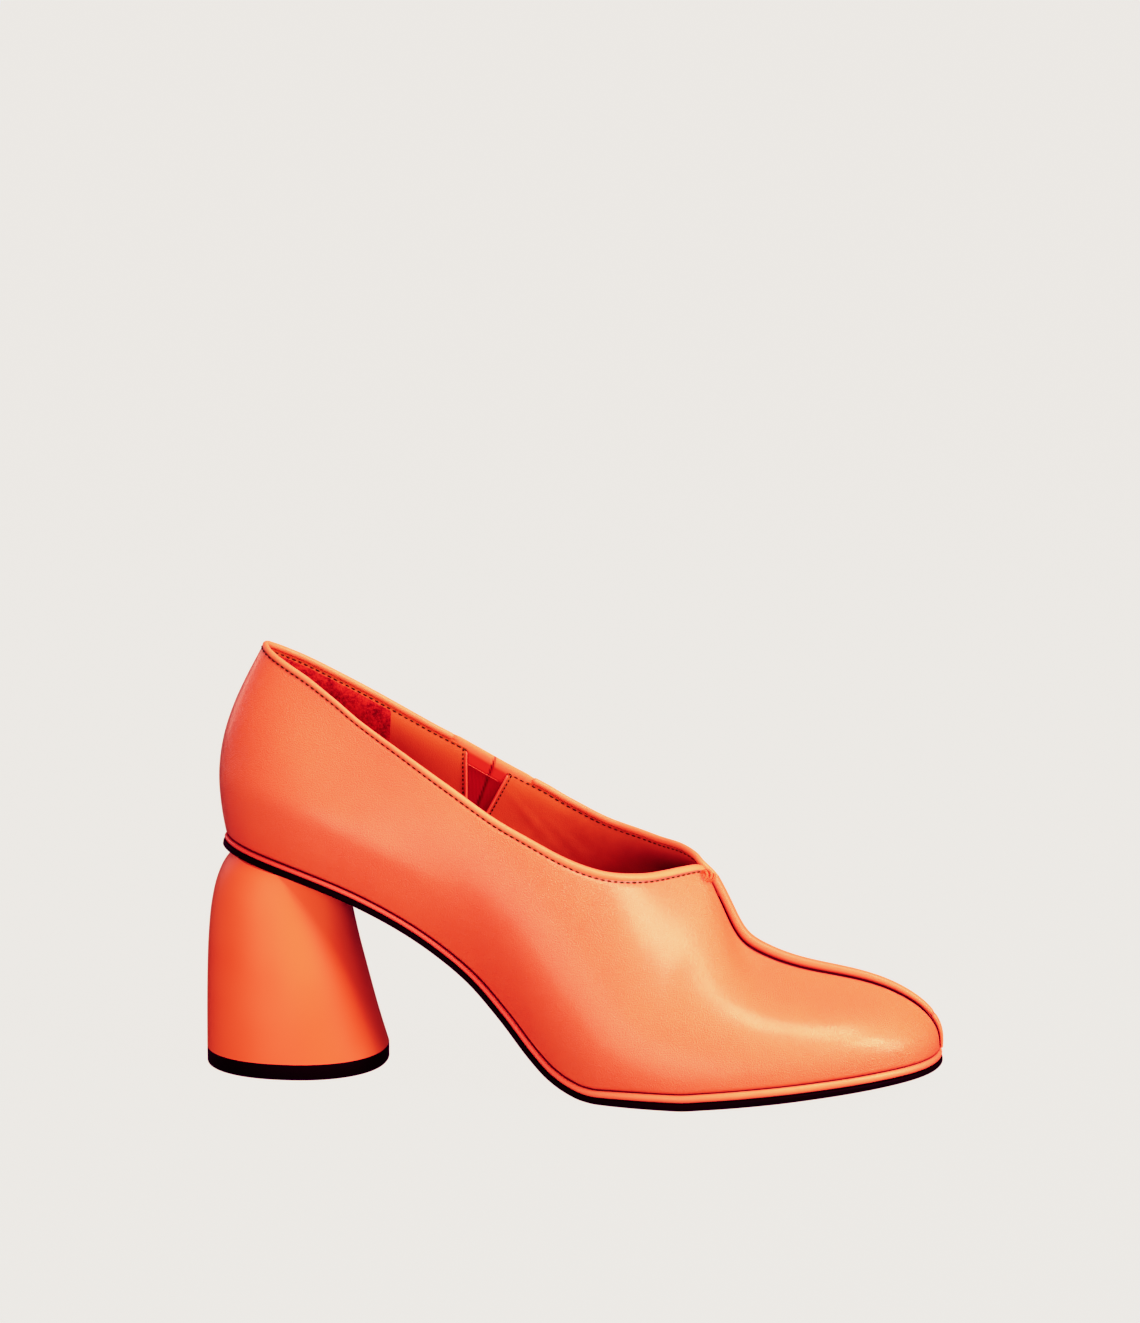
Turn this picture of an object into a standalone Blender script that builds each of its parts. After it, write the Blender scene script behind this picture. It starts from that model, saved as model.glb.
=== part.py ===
# Heeled slip-on loafer for the right foot: a hollow upper of last shape, a sole with an arch and
# toe spring, and a sculpted block heel. The toe points to +X and the lateral side to -Y.
# Shapes are worked out in millimetres, and MM turns them into metres as each mesh is made.
import math
from collections import namedtuple

import bmesh
import bpy
import numpy as np

MM = 0.001

# Driving sizes
LENGTH = 243.0
BALL_WIDTH = 84.6
HEEL_HEIGHT = 72.3
BACK_HEIGHT = 136.1
THROAT_HEIGHT = 66.0
TOE_SPRING = 7.0
TOE_TURN = 2.0

# Thicknesses, radii and gaps
GAP = 0.3
WALL_THICK = 1.7
OUTSOLE_THICK = 2.2
RAND_THICK = 2.6
RAND_DEPTH = 3.1
INSOLE_THICK = 3.6
OUTSOLE_EASE = 0.25
INSOLE_EASE = 0.4
LIFT_THICK = 5.0
UPPER_INSET = 0.6
BINDING_RADIUS = 1.6
BINDING_SEAT = 0.45
LATERAL_STOP = 5.2
MEDIAL_STOP = 1.4
PIPING_RADIUS = 2.0
PIPING_TIP_RADIUS = 1.0
PIPING_RISE = 0.4
PIPING_SEAT = 0.45
PIPING_START = 0.659
PIPING_END = 0.988
GORE_THICK = 1.1
GORE_WIDTH = 15.0
GORE_DEPTH = 27.0
GORE_LEAN = math.radians(15)
GORE_PLACE = 0.335
GORE_SPREAD = 0.08
GORE_LOWEST = 0.4
TAB_BACK = 14.4
TAB_FRONT = 18.4
TAB_HEIGHT = 3.0
TAB_GAP = 0.7
CUTTER_REACH = 14.0

# Heights above the sole's underside, and the shift that centres the shoe over the origin
RAND_BASE = OUTSOLE_THICK + GAP
FEATHER = RAND_BASE + RAND_THICK + GAP
MIDDLE = 122.06
SIDE_SHIFT = 1.31

# The sole's underside: station along the foot, height from the heel and from the toe spring, in percent
Profile = namedtuple("Profile", "station heel spring")
UNDERSIDE = [
    Profile(2.5, 100.0, 0), Profile(6.6, 97.1, 0), Profile(11.5, 93.4, 0), Profile(16.5, 88.8, 0),
    Profile(21.4, 83.1, 0), Profile(25.5, 76.9, 0), Profile(29.6, 69.3, 0), Profile(33.7, 60.0, 0),
    Profile(37.9, 48.5, 0), Profile(42.4, 32.1, 0), Profile(46.5, 15.9, 0), Profile(49.0, 8.2, 0),
    Profile(51.4, 3.6, 0), Profile(53.9, 0.8, 0), Profile(56.0, 0, 0), Profile(66.7, 0, 0),
    Profile(70.8, 0, 11), Profile(79.0, 0, 38), Profile(87.2, 0, 67), Profile(94.7, 0, 90),
    Profile(100.0, 0, 100),
]

# The sole's edge: percent of the length, and percent of the ball width to each side
Edge = namedtuple("Edge", "station lateral medial")
SOLE_EDGE = [
    Edge(2.6, 0, 0), Edge(3.8, 10.6, 10.6), Edge(6.8, 19.9, 19.9), Edge(11.5, 27.2, 27.2),
    Edge(18.5, 31.9, 31.4), Edge(27.2, 32.7, 30.0), Edge(35.4, 31.9, 26.4), Edge(42.8, 33.8, 25.5),
    Edge(48.6, 39.0, 30.5), Edge(54.3, 45.6, 38.3), Edge(60.9, 50.1, 44.9), Edge(67.5, 51.5, 48.0),
    Edge(74.1, 50.6, 48.2), Edge(80.7, 47.5, 46.1), Edge(87.2, 41.6, 41.2), Edge(92.6, 33.6, 34.6),
    Edge(96.5, 23.8, 26.3), Edge(99.0, 12.4, 16.2), Edge(100.0, -2.4, 2.4),
]

# The collar: percent of the length and of the ball width, height in percent between throat and back,
# and how much higher the medial side is than the lateral side in millimetres
Collar = namedtuple("Collar", "station half_width height medial_rise")
COLLAR = [
    Collar(7.9, 0, 100.0, 0), Collar(8.8, 6.6, 98.3, 0), Collar(11.3, 12.5, 94.0, 0),
    Collar(16.9, 18.7, 84.0, 0), Collar(27.2, 26.2, 63.1, 0), Collar(37.0, 32.2, 42.5, 0.4),
    Collar(43.6, 34.8, 28.6, 1.8), Collar(48.6, 35.2, 19.9, 2.6), Collar(53.5, 33.3, 12.3, 3.3),
    Collar(58.4, 28.8, 7.8, 4.2), Collar(61.7, 22.7, 5.9, 4.6), Collar(64.6, 14.9, 5.6, 4.8),
    Collar(67.1, 7.1, 5.0, 3.2), Collar(68.3, 2.6, 3.4, 1.6),
]

# The vamp's centre seam, throat to toe: percent of the length and of the throat's height
Seam = namedtuple("Seam", "station height")
SEAM = [
    Seam(69.0, 100.0), Seam(70.3, 91.4), Seam(71.7, 80.9), Seam(73.5, 71.0), Seam(76.1, 64.9),
    Seam(80.7, 59.0), Seam(86.8, 54.8), Seam(91.8, 50.2), Seam(95.5, 43.8), Seam(97.9, 36.8),
    Seam(99.3, 28.5),
]

# Which point of the top line each wall section runs to: share along the sole's edge, and share along
# the collar and centre seam together, on either side of the section that runs to the throat
Match = namedtuple("Match", "foot top")
BEHIND_THROAT = [Match(0, 0), Match(0.19, 0.16), Match(0.40, 0.38), Match(0.57, 0.553)]
AHEAD_OF_THROAT = [Match(0.74, 0.722), Match(0.83, 0.818), Match(0.93, 0.93), Match(1, 1)]
THROAT = 0.655
SEAM_BLEND = 14.0
BACK_BLEND = 4.0

# Each wall section: share along the sole's edge, outward lean at the foot and slope at the top in
# degrees, and how far each end keeps its direction as a share of the section's chord
Wall = namedtuple("Wall", "share lean slope low high")
WALL = [
    Wall(0, 16, 61, 0.44, 0.40), Wall(0.10, 13, 68, 0.41, 0.38), Wall(0.22, 12, 76, 0.36, 0.36),
    Wall(0.40, 16, 80, 0.36, 0.36), Wall(0.55, 12, 66, 0.36, 0.34), Wall(0.655, 8, 57, 0.36, 0.32),
    Wall(0.72, 6, 44, 0.38, 0.34), Wall(0.80, 6, 27, 0.42, 0.40), Wall(0.90, 6, 22, 0.46, 0.44),
    Wall(1, 6, 20, 0.46, 0.44),
]

# The heel block: share of the rise, then its back, front and half width in millimetres
HeelRow = namedtuple("HeelRow", "rise back front half_width")
HEEL = [
    HeelRow(0, 0.8, 60.4, 27.6), HeelRow(0.2, 1.0, 56.9, 27.4), HeelRow(0.45, 1.5, 53.2, 27.0),
    HeelRow(0.65, 2.5, 50.5, 26.6), HeelRow(0.80, 4.2, 49.2, 26.0), HeelRow(0.90, 6.4, 48.6, 25.2),
    HeelRow(0.96, 8.6, 48.4, 24.4), HeelRow(1, 11.2, 48.2, 23.4),
]
HEEL_SQUARENESS = 2.2

# The rand's section: inset from the sole's edge and height above its base
Bead = namedtuple("Bead", "inset height")
RAND_SECTION = [
    Bead(RAND_DEPTH, 0), Bead(0.9, 0), Bead(0.35, 0.4), Bead(0.1, 1.0), Bead(0.1, 1.6),
    Bead(0.4, 2.25), Bead(1.0, RAND_THICK), Bead(RAND_DEPTH, RAND_THICK),
]

# How finely the surfaces are cut
COLLAR_ROWS = 26
SEAM_ROWS = 21
WALL_STEPS = 10
EDGE_ROWS = 54
SOLE_SPANS = 4
HEEL_SIDES = 32
HEEL_STEPS = 10
PIPING_ROWS = 34
PIPING_SIDES = 9
BINDING_ROWS = {"lateral": 52, "rear": 24, "front": 24}
GORE_ROWS = 15
GORE_STEPS = 10
HEEL_TOP_RINGS = (0.66, 0.33, 0.04)
EDGE_CROWDING = 0.35
SMOOTH_ANGLE = math.radians(35)

SIDES = {"lateral": -1, "medial": 1}

# Colours of the finished surfaces: linear base colour and roughness
Finish = namedtuple("Finish", "color roughness")
LEATHER = Finish((0.80, 0.16, 0.065, 1), 0.42)
EDGE_LEATHER = Finish((0.87, 0.25, 0.11, 1), 0.45)
LINING = Finish((0.42, 0.012, 0.010, 1), 0.55)
ELASTIC = Finish((0.55, 0.05, 0.02, 1), 0.7)
HEEL_COVER = Finish((0.82, 0.19, 0.08, 1), 0.35)
BLACK_RUBBER = Finish((0.006, 0.004, 0.005, 1), 0.5)


def column(table, name):
    return np.array([getattr(row, name) for row in table], float)


# A cubic through one column of a table that never overshoots its rows, carried on straight past its ends
def monotone(knots, values, at):
    at = np.asarray(at, float)
    width = np.diff(knots)
    grade = np.diff(values) / width
    tangent = np.concatenate([grade[:1], np.zeros(len(grade) - 1), grade[-1:]])
    for i in range(1, len(grade)):
        if grade[i - 1] * grade[i] > 0:
            near, far = 2 * width[i] + width[i - 1], width[i] + 2 * width[i - 1]
            tangent[i] = (near + far) / (near / grade[i - 1] + far / grade[i])
    inside = np.clip(at, knots[0], knots[-1])
    i = np.clip(np.searchsorted(knots, inside, side="right") - 1, 0, len(width) - 1)
    t = (inside - knots[i]) / width[i]
    rise = t * t * (3 - 2 * t)
    start = t * (1 - t) ** 2 * width[i] * tangent[i]
    end = t * t * (t - 1) * width[i] * tangent[i + 1]
    past = np.where(at < inside, tangent[0], tangent[-1]) * (at - inside)
    return values[i] * (1 - rise) + values[i + 1] * rise + start + end + past


# A natural cubic through points by chord length, sampled closely
def curve_through(points, samples=1600):
    points = np.array(points, float)
    count = len(points)
    step = np.linalg.norm(np.diff(points, axis=0), axis=1)
    knots = np.concatenate([[0], np.cumsum(step)])
    system = np.eye(count)
    bend = np.zeros_like(points)
    for i in range(1, count - 1):
        system[i, i - 1:i + 2] = step[i - 1], 2 * (step[i - 1] + step[i]), step[i]
        bend[i] = 6 * ((points[i + 1] - points[i]) / step[i] - (points[i] - points[i - 1]) / step[i - 1])
    bend = np.linalg.solve(system, bend)
    at = np.linspace(0, knots[-1], samples)
    i = np.clip(np.searchsorted(knots, at, side="right") - 1, 0, count - 2)
    left, right, width = (v[:, None] for v in (knots[i + 1] - at, at - knots[i], step[i]))
    cubic = (bend[i] * left ** 3 + bend[i + 1] * right ** 3) / (6 * width)
    from_left = (points[i] / width - bend[i] * width / 6) * left
    from_right = (points[i + 1] / width - bend[i + 1] * width / 6) * right
    return cubic + from_left + from_right


# The point at a share of a sampled curve's length
def at_share(curve, share):
    run = np.concatenate([[0], np.cumsum(np.linalg.norm(np.diff(curve, axis=0), axis=1))])
    at = np.asarray(share, float) * run[-1]
    return np.stack([np.interp(at, run, curve[:, k]) for k in range(curve.shape[1])], -1)


def unit(vectors):
    return vectors / np.maximum(np.linalg.norm(vectors, axis=-1, keepdims=True), 1e-9)


def nearest(curve, point):
    return int(np.linalg.norm(curve - np.array(point), axis=1).argmin())


def underside(station):
    heights = column(UNDERSIDE, "heel") * HEEL_HEIGHT + column(UNDERSIDE, "spring") * TOE_SPRING
    return monotone(column(UNDERSIDE, "station") * LENGTH / 100, heights / 100, station)


# A place on the sole: station, sideways distance, and height above the underside along its normal
def sole_point(station, sideways, height):
    station = np.asarray(station, float)
    slope = underside(station + 0.5) - underside(station - 0.5)
    tilt = np.sqrt(1 + slope ** 2)
    forward, upward = station - height * slope / tilt, underside(station) + height / tilt
    return np.stack([forward, sideways + 0 * station, upward], -1)


# The sole's edge as one closed curve, split into its two sides from heel to toe
def edge_halves():
    length, width = LENGTH / 100, BALL_WIDTH / 100
    lateral = [(row.station * length, -row.lateral * width) for row in SOLE_EDGE]
    medial = [(row.station * length, row.medial * width) for row in SOLE_EDGE]
    loop = lateral[:-1] + medial[:0:-1]
    lap, half = 6, 2400
    curve = curve_through(loop[-lap:] + loop + loop[:lap + 1], 2 * half)
    first, last = nearest(curve[:half], loop[0]), half + nearest(curve[half:], loop[0])
    curve = curve[first:last]
    curve = np.roll(curve, -int(curve[:, 0].argmin()), axis=0)
    tip = int(curve[:, 0].argmax())
    return {"lateral": curve[:tip + 1], "medial": np.concatenate([curve[tip:], curve[:1]])[::-1]}


EDGE = edge_halves()


# The sole's edge at shares of one side, moved inward, and its outward direction
def sole_edge(side, share, inset):
    share = np.asarray(share, float)
    curve, turn = EDGE[side], SIDES[side]
    before, after = (np.clip(share + step, 0, 1) for step in (-0.001, 0.001))
    along = at_share(curve, after) - at_share(curve, before)
    outward = unit(np.stack([-turn * along[..., 1], turn * along[..., 0]], -1))
    outward = np.where((share < 1e-6)[..., None], [-1.0, 0.0], outward)
    outward = np.where((share > 1 - 1e-6)[..., None], [1.0, 0.0], outward)
    return at_share(curve, share) - inset * outward, outward


# How far the centre seam has turned to the medial side
def seam_turn(station):
    start = SEAM[0].station * LENGTH / 100
    return TOE_TURN * np.clip((np.asarray(station, float) - start) / (LENGTH - start), 0, 1) ** 2


# The top line of one side: the collar from the back to the throat, then the centre seam to the toe
def top_line(side):
    length, width = LENGTH / 100, BALL_WIDTH / 100
    rise = (BACK_HEIGHT - THROAT_HEIGHT) / 100

    def collar_row(row, turn):
        height = THROAT_HEIGHT + row.height * rise + turn * row.medial_rise / 2
        return row.station * length, turn * row.half_width * width, height

    turn = SIDES[side]
    lead_in = [collar_row(row, -turn) for row in COLLAR[5:0:-1]]
    collar = [collar_row(row, turn) for row in COLLAR]
    seam = [(row.station * length, 0, row.height * THROAT_HEIGHT / 100) for row in SEAM]
    tip, _ = sole_edge(side, [1.0], UPPER_INSET)
    foot = sole_point(tip[:, 0], tip[:, 1], FEATHER)[0]
    curve = curve_through(lead_in + collar + seam + [(foot[0], 0, foot[2])])
    return curve[nearest(curve, collar[0]):], seam[0]


def split_top():
    halves, seams = {}, []
    for side, turn in SIDES.items():
        curve, throat = top_line(side)
        cut = nearest(curve, throat)
        collar = curve[:cut + 1].copy()
        collar[:, 1] = turn * np.maximum(turn * collar[:, 1], 0)
        collar[-1] = throat
        halves[side] = collar
        seams.append(at_share(curve[cut:], np.linspace(0, 1, 800)))
    seam = (seams[0] + seams[1]) / 2
    seam[:, 1] = seam_turn(seam[:, 0])
    seam[0] = halves["lateral"][-1]
    return halves, seam


COLLAR_LINE, SEAM_LINE = split_top()


def curve_length(curve):
    return np.linalg.norm(np.diff(curve, axis=0), axis=1).sum()


# How far along the collar and the centre seam a wall section's top lies
def top_run(side, foot_share):
    collar, seam = curve_length(COLLAR_LINE[side]), curve_length(SEAM_LINE)
    match = BEHIND_THROAT + [Match(THROAT, collar / (collar + seam))] + AHEAD_OF_THROAT
    return monotone(column(match, "foot"), column(match, "top"), foot_share) * (collar + seam)


# The share along the sole's edge whose wall section reaches the collar a given run from the back
def share_at_run(side, run):
    shares = np.linspace(0, 1, 2001)
    return float(np.interp(run, top_run(side, shares), shares))


# The top of a wall section, and the level direction that leads from it into the leather
def wall_top(side, foot_share):
    line, turn = COLLAR_LINE[side], SIDES[side]
    collar, seam = curve_length(line), curve_length(SEAM_LINE)
    run = top_run(side, foot_share)
    on_collar, on_seam = np.clip(run / collar, 0, 1), np.clip((run - collar) / seam, 0, 1)
    point = np.where((run < collar)[:, None], at_share(line, on_collar), at_share(SEAM_LINE, on_seam))
    before, after = (np.clip(on_collar + step, 0, 1) for step in (-0.008, 0.008))
    along = at_share(line, after) - at_share(line, before)
    outward = unit(np.stack([-turn * along[:, 1], turn * along[:, 0]], -1))
    back = np.clip(1 - run / BACK_BLEND, 0, 1)[:, None]
    ahead = np.clip((run - collar + SEAM_BLEND) / (1.6 * SEAM_BLEND), 0, 1)[:, None]
    ahead = ahead * ahead * (3 - 2 * ahead)
    outward = unit(outward * (1 - back) + np.array([-1.0, 0]) * back)
    return point, unit(outward * (1 - ahead) + np.array([0, turn]) * ahead)


def level(directions):
    return np.concatenate([directions, np.zeros((len(directions), 1))], 1)


# One side of the upper's outer face: foot, top and the two points that bend each section between them
def wall_frame(side, share):
    share = np.asarray(share, float)
    edge, outward = sole_edge(side, share, UPPER_INSET)
    foot = sole_point(edge[:, 0], edge[:, 1], FEATHER)
    top, inward = wall_top(side, share)
    top = np.where((share > 1 - 1e-6)[:, None], foot, top)
    lean, slope, low, high = (
        monotone(column(WALL, "share"), column(WALL, name), share)[:, None]
        for name in ("lean", "slope", "low", "high")
    )
    lean, slope = np.radians(lean), np.radians(slope)
    chord = np.linalg.norm(top - foot, axis=1, keepdims=True)
    up = np.array([0, 0, 1.0])
    rising = level(outward) * np.sin(lean) + up * np.cos(lean)
    falling = level(inward) * np.cos(slope) - up * np.sin(slope)
    return foot, foot + low * chord * rising, top + high * chord * falling, top, falling


# Points of the upper's outer face, a row for each share along the foot and a column for each rise
def upper_wall(side, share, rise):
    foot, low, high, top, _ = (v[:, None, :] for v in wall_frame(side, share))
    t = np.asarray(rise, float)[None, :, None]
    return foot * (1 - t) ** 3 + 3 * low * t * (1 - t) ** 2 + 3 * high * t * t * (1 - t) + top * t ** 3


# The outward direction of the wall at its top edge
def top_normal(share, top, falling):
    along = unit(np.gradient(top, share, axis=0))
    across = np.cross(along, falling)
    return unit(across * np.sign(across[:, 2:3] + 1e-9))


def to_metres(points):
    shifted = np.asarray(points, float) + np.array([-MIDDLE, SIDE_SHIFT, 0])
    return shifted.reshape(-1, 3) * MM


def collection(name):
    made = bpy.data.collections.new(name)
    bpy.context.scene.collection.children.link(made)
    return made


def principled(name, finish):
    material = bpy.data.materials.new(name)
    material.use_nodes = True
    shader = material.node_tree.nodes["Principled BSDF"]
    shader.inputs["Base Color"].default_value = finish.color
    shader.inputs["Roughness"].default_value = finish.roughness
    shader.inputs["Metallic"].default_value = 0.0
    return material


# An object from rows of points, joined to their neighbours as a grid and welded where rows meet
def grid_object(name, rows, finish, wrap_rows=False, wrap_points=False, capped=False):
    mesh = bpy.data.meshes.new(name)
    count, width = len(rows), len(rows[0])
    bm = bmesh.new()
    verts = [bm.verts.new(p) for p in to_metres(rows)]
    grid = [verts[k * width:(k + 1) * width] for k in range(count)]
    for k in range(count if wrap_rows else count - 1):
        here, after = grid[k], grid[(k + 1) % count]
        for j in range(width if wrap_points else width - 1):
            m = (j + 1) % width
            bm.faces.new((here[j], here[m], after[m], after[j]))
    if capped:
        bm.faces.new(grid[0])
        bm.faces.new(grid[-1])
    bmesh.ops.remove_doubles(bm, verts=bm.verts, dist=0.00002)
    bmesh.ops.recalc_face_normals(bm, faces=bm.faces)
    bm.to_mesh(mesh)
    bm.free()
    mesh.shade_smooth()
    mesh.set_sharp_from_angle(angle=SMOOTH_ANGLE)
    mesh.materials.append(principled(name, finish))
    made = bpy.data.objects.new(name, mesh)
    PARTS.objects.link(made)
    return made


# A round bead along a path
def tube_object(name, path, radius, finish):
    curve = bpy.data.curves.new(name, "CURVE")
    curve.dimensions = "3D"
    curve.bevel_depth = radius * MM
    curve.bevel_resolution = 2
    curve.use_fill_caps = True
    spline = curve.splines.new("POLY")
    spline.points.add(len(path) - 1)
    for point, place in zip(spline.points, to_metres(path)):
        point.co = (*place, 1)
    curve.materials.append(principled(name, finish))
    made = bpy.data.objects.new(name, curve)
    PARTS.objects.link(made)
    return made


# Where the gore's V starts on the medial collar, with its directions along the collar and down the V
def gore_frame():
    top = wall_frame("medial", [GORE_PLACE - 0.01, GORE_PLACE, GORE_PLACE + 0.01])[3]
    along = unit((top[2] - top[0]) * np.array([1, 0, 1]))
    return top[1], along, np.array([-math.sin(GORE_LEAN), 0, -math.cos(GORE_LEAN)])


# A cutter pushed through the medial wall: a V notch, or the V with a tab along the top
def gore_cutter(name, clearance, tabbed):
    top, along, down = gore_frame()
    half, tip = GORE_WIDTH / 2 - clearance, GORE_DEPTH - 3 * clearance
    above = np.array([-along[2], 0, along[0]])
    low, high = above * (BINDING_SEAT + 0.1), above * CUTTER_REACH
    back, front = along * TAB_BACK, along * TAB_FRONT
    shoulder = [top + low - back, top + high - back, top + high + front, top + low + front]
    neck = along * half
    plain = [top + high - neck, top + high + neck]
    tabbed_top = [top + low - neck, *shoulder, top + low + neck]
    outline = tabbed_top if tabbed else plain
    outline = outline + [top + neck, top + down * tip + along, top + down * tip - along, top - neck]
    push = np.array([0, CUTTER_REACH, 0])
    rows = [[p - push for p in outline], [p + push for p in outline]]
    cutter = grid_object(name, rows, ELASTIC, wrap_points=True, capped=True)
    PARTS.objects.unlink(cutter)
    CUTTERS.objects.link(cutter)
    cutter.hide_render = True
    cutter.display_type = "WIRE"
    return cutter


def cut(target, cutter, operation):
    modifier = target.modifiers.new(operation.title(), "BOOLEAN")
    modifier.operation = operation
    modifier.solver = "EXACT"
    modifier.object = cutter


def solidify(target, thickness, offset=-1):
    modifier = target.modifiers.new("Thickness", "SOLIDIFY")
    modifier.thickness = thickness * MM
    modifier.offset = offset
    modifier.use_even_offset = True
    modifier.use_quality_normals = True


# The upper: both sides from the toe round the heel, welded along the centre seam, with a real wall
def build_upper():
    share = np.concatenate([np.linspace(0, THROAT, COLLAR_ROWS), np.linspace(THROAT, 1, SEAM_ROWS)[1:]])
    rise = np.linspace(0, 1, WALL_STEPS + 1)
    lateral, medial = (upper_wall(side, share, rise) for side in ("lateral", "medial"))
    upper = grid_object("upper", np.concatenate([lateral[::-1], medial[1:]]), LEATHER)
    solidify(upper, WALL_THICK)
    cut(upper, gore_cutter("gore_notch", 0, False), "DIFFERENCE")


# The elastic gore: a thinner piece of the same wall that fills the V notch and stands up as a tab
# between the ends of the binding
def build_gore():
    share = np.linspace(GORE_PLACE - GORE_SPREAD, GORE_PLACE + GORE_SPREAD, GORE_ROWS)
    foot, _, _, top, falling = wall_frame("medial", share)
    tab_rise = 1 + TAB_HEIGHT / np.linalg.norm(top - foot, axis=1).mean()
    wall = upper_wall("medial", share, np.linspace(GORE_LOWEST, tab_rise, GORE_STEPS))
    inward = -top_normal(share, top, falling) * (WALL_THICK - GORE_THICK) / 2
    gore = grid_object("gore", wall + inward[:, None, :], ELASTIC)
    solidify(gore, GORE_THICK)
    cut(gore, gore_cutter("gore_shape", GAP, True), "INTERSECT")


# The rolled binding: a bead on the collar's edge, from the throat round the heel to the gore, and
# from the gore forward to the throat
def binding_path(side, start, end, count):
    share = np.linspace(start, end, count)
    _, _, _, top, falling = wall_frame(side, share)
    to_mid_wall = -top_normal(share, top, falling) * WALL_THICK / 2
    return top - falling * (BINDING_RADIUS + BINDING_SEAT) + to_mid_wall


def build_bindings():
    gore = float(top_run("medial", GORE_PLACE))
    rear_end = share_at_run("medial", gore - TAB_BACK - TAB_GAP)
    front_end = share_at_run("medial", gore + TAB_FRONT + 2 * TAB_GAP)
    throat = {side: curve_length(COLLAR_LINE[side]) for side in SIDES}
    lateral_end = share_at_run("lateral", throat["lateral"] - LATERAL_STOP)
    medial_end = share_at_run("medial", throat["medial"] - MEDIAL_STOP)
    lateral = binding_path("lateral", lateral_end, 0.001, BINDING_ROWS["lateral"])
    medial = binding_path("medial", 0.001, rear_end, BINDING_ROWS["rear"])
    tube_object("collar_binding", np.concatenate([lateral, medial[1:]]), BINDING_RADIUS, EDGE_LEATHER)
    front = binding_path("medial", front_end, medial_end, BINDING_ROWS["front"])
    tube_object("collar_binding_front", front, BINDING_RADIUS, EDGE_LEATHER)


# The piping: a bead saddled on the centre seam, thinner towards the toe
def build_piping():
    share = np.linspace(PIPING_START, PIPING_END, PIPING_ROWS)
    frames = {side: wall_frame(side, share) for side in SIDES}
    seam = frames["lateral"][3]
    along = unit(np.gradient(seam, axis=0))
    normals = {}
    for side in SIDES:
        falling = frames[side][4]
        across = unit(falling - (falling * along).sum(1, keepdims=True) * along)
        normals[side] = unit(np.cross(along, across)) * SIDES[side]
    crown = unit(normals["lateral"] + normals["medial"])
    sideways = np.cross(crown, along)
    tilt = np.arccos(np.clip((crown * normals["lateral"]).sum(1), -1, 1))
    radius = np.linspace(PIPING_RADIUS, PIPING_TIP_RADIUS, len(share))
    reach = tilt + np.arccos((PIPING_SEAT - np.cos(tilt) * PIPING_RISE) / radius)
    turns = np.linspace(-1, 1, PIPING_SIDES)[None, :] * reach[:, None]
    arc = crown[:, None] * np.cos(turns)[..., None] + sideways[:, None] * np.sin(turns)[..., None]
    rim = (seam + crown * PIPING_RISE)[:, None] + arc * radius[:, None, None]
    keel = seam + crown * (PIPING_SEAT / np.cos(tilt))[:, None]
    rows = np.concatenate([rim, keel[:, None]], 1)
    grid_object("vamp_piping", rows, EDGE_LEATHER, wrap_points=True, capped=True)


# Shares along the sole's edge, closer together round the heel and the toe
def edge_shares():
    even = np.linspace(0, 1, EDGE_ROWS + 1)
    return even + EDGE_CROWDING * (0.5 - 0.5 * np.cos(np.pi * even) - even)


# The rand: a bead all round the sole's edge, under the upper
def build_rand():
    share = edge_shares()
    inset, height = column(RAND_SECTION, "inset"), column(RAND_SECTION, "height") + RAND_BASE
    rows = []
    for side, places in (("lateral", share[:-1]), ("medial", share[:0:-1])):
        for place in places:
            points = [sole_edge(side, [place], gap)[0][0] for gap in inset]
            rows.append([sole_point(p[0], p[1], h) for p, h in zip(points, height)])
    grid_object("rand", np.array(rows), EDGE_LEATHER, wrap_rows=True, wrap_points=True)


# A plate on the sole's curve, between two heights and inside the sole's edge
def sole_plate(name, inset, base, thick, ease, finish):
    share = np.clip(edge_shares(), 0.001, 0.999)
    across = np.linspace(0, 1, SOLE_SPANS + 1)[None, :, None]

    def layer(gap, height):
        lateral, medial = (sole_edge(side, share, gap)[0][:, None] for side in ("lateral", "medial"))
        plan = lateral * (1 - across) + medial * across
        return sole_point(plan[..., 0], plan[..., 1], height)

    bottom, low = layer(inset + ease, base), layer(inset, base + ease)
    high, top = layer(inset, base + thick - ease), layer(inset + ease, base + thick)
    rows = [bottom, low[:, -1:], high[:, -1:], top[:, ::-1], high[:, :1], low[:, :1]]
    grid_object(name, np.concatenate(rows, 1), finish, wrap_points=True, capped=True)


# One level outline of the heel block
def heel_ring(rise, shrink=1.0):
    back, front, half = (
        float(monotone(column(HEEL, "rise"), column(HEEL, name), rise))
        for name in ("back", "front", "half_width")
    )
    angle = np.linspace(0, 2 * np.pi, HEEL_SIDES, endpoint=False)
    power = 2 / HEEL_SQUARENESS
    lengthwise = np.sign(np.cos(angle)) * np.abs(np.cos(angle)) ** power
    sideways = np.sign(np.sin(angle)) * np.abs(np.sin(angle)) ** power
    station = (back + front) / 2 + shrink * lengthwise * (front - back) / 2
    return station, shrink * sideways * half


# The heel: from the lift up to the sole, closed on top by rings that follow the sole's curve
def build_heel():
    base = LIFT_THICK + GAP
    rows = []
    for rise in np.linspace(0, 1, HEEL_STEPS + 1):
        station, sideways = heel_ring(rise)
        seat = sole_point(station, sideways, -GAP)
        rows.append(np.stack([station, sideways, base + rise * (seat[:, 2] - base)], -1))
    for shrink in HEEL_TOP_RINGS:
        station, sideways = heel_ring(1, shrink)
        seat = sole_point(station, sideways, -GAP)
        rows.append(np.stack([station, sideways, seat[:, 2]], -1))
    grid_object("heel", np.array(rows), HEEL_COVER, wrap_points=True, capped=True)


def build_heel_lift():
    station, sideways = heel_ring(0)
    rows = [np.stack([station, sideways, 0 * station + height], -1) for height in (0, LIFT_THICK)]
    grid_object("heel_lift", np.array(rows), BLACK_RUBBER, wrap_points=True, capped=True)


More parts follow.
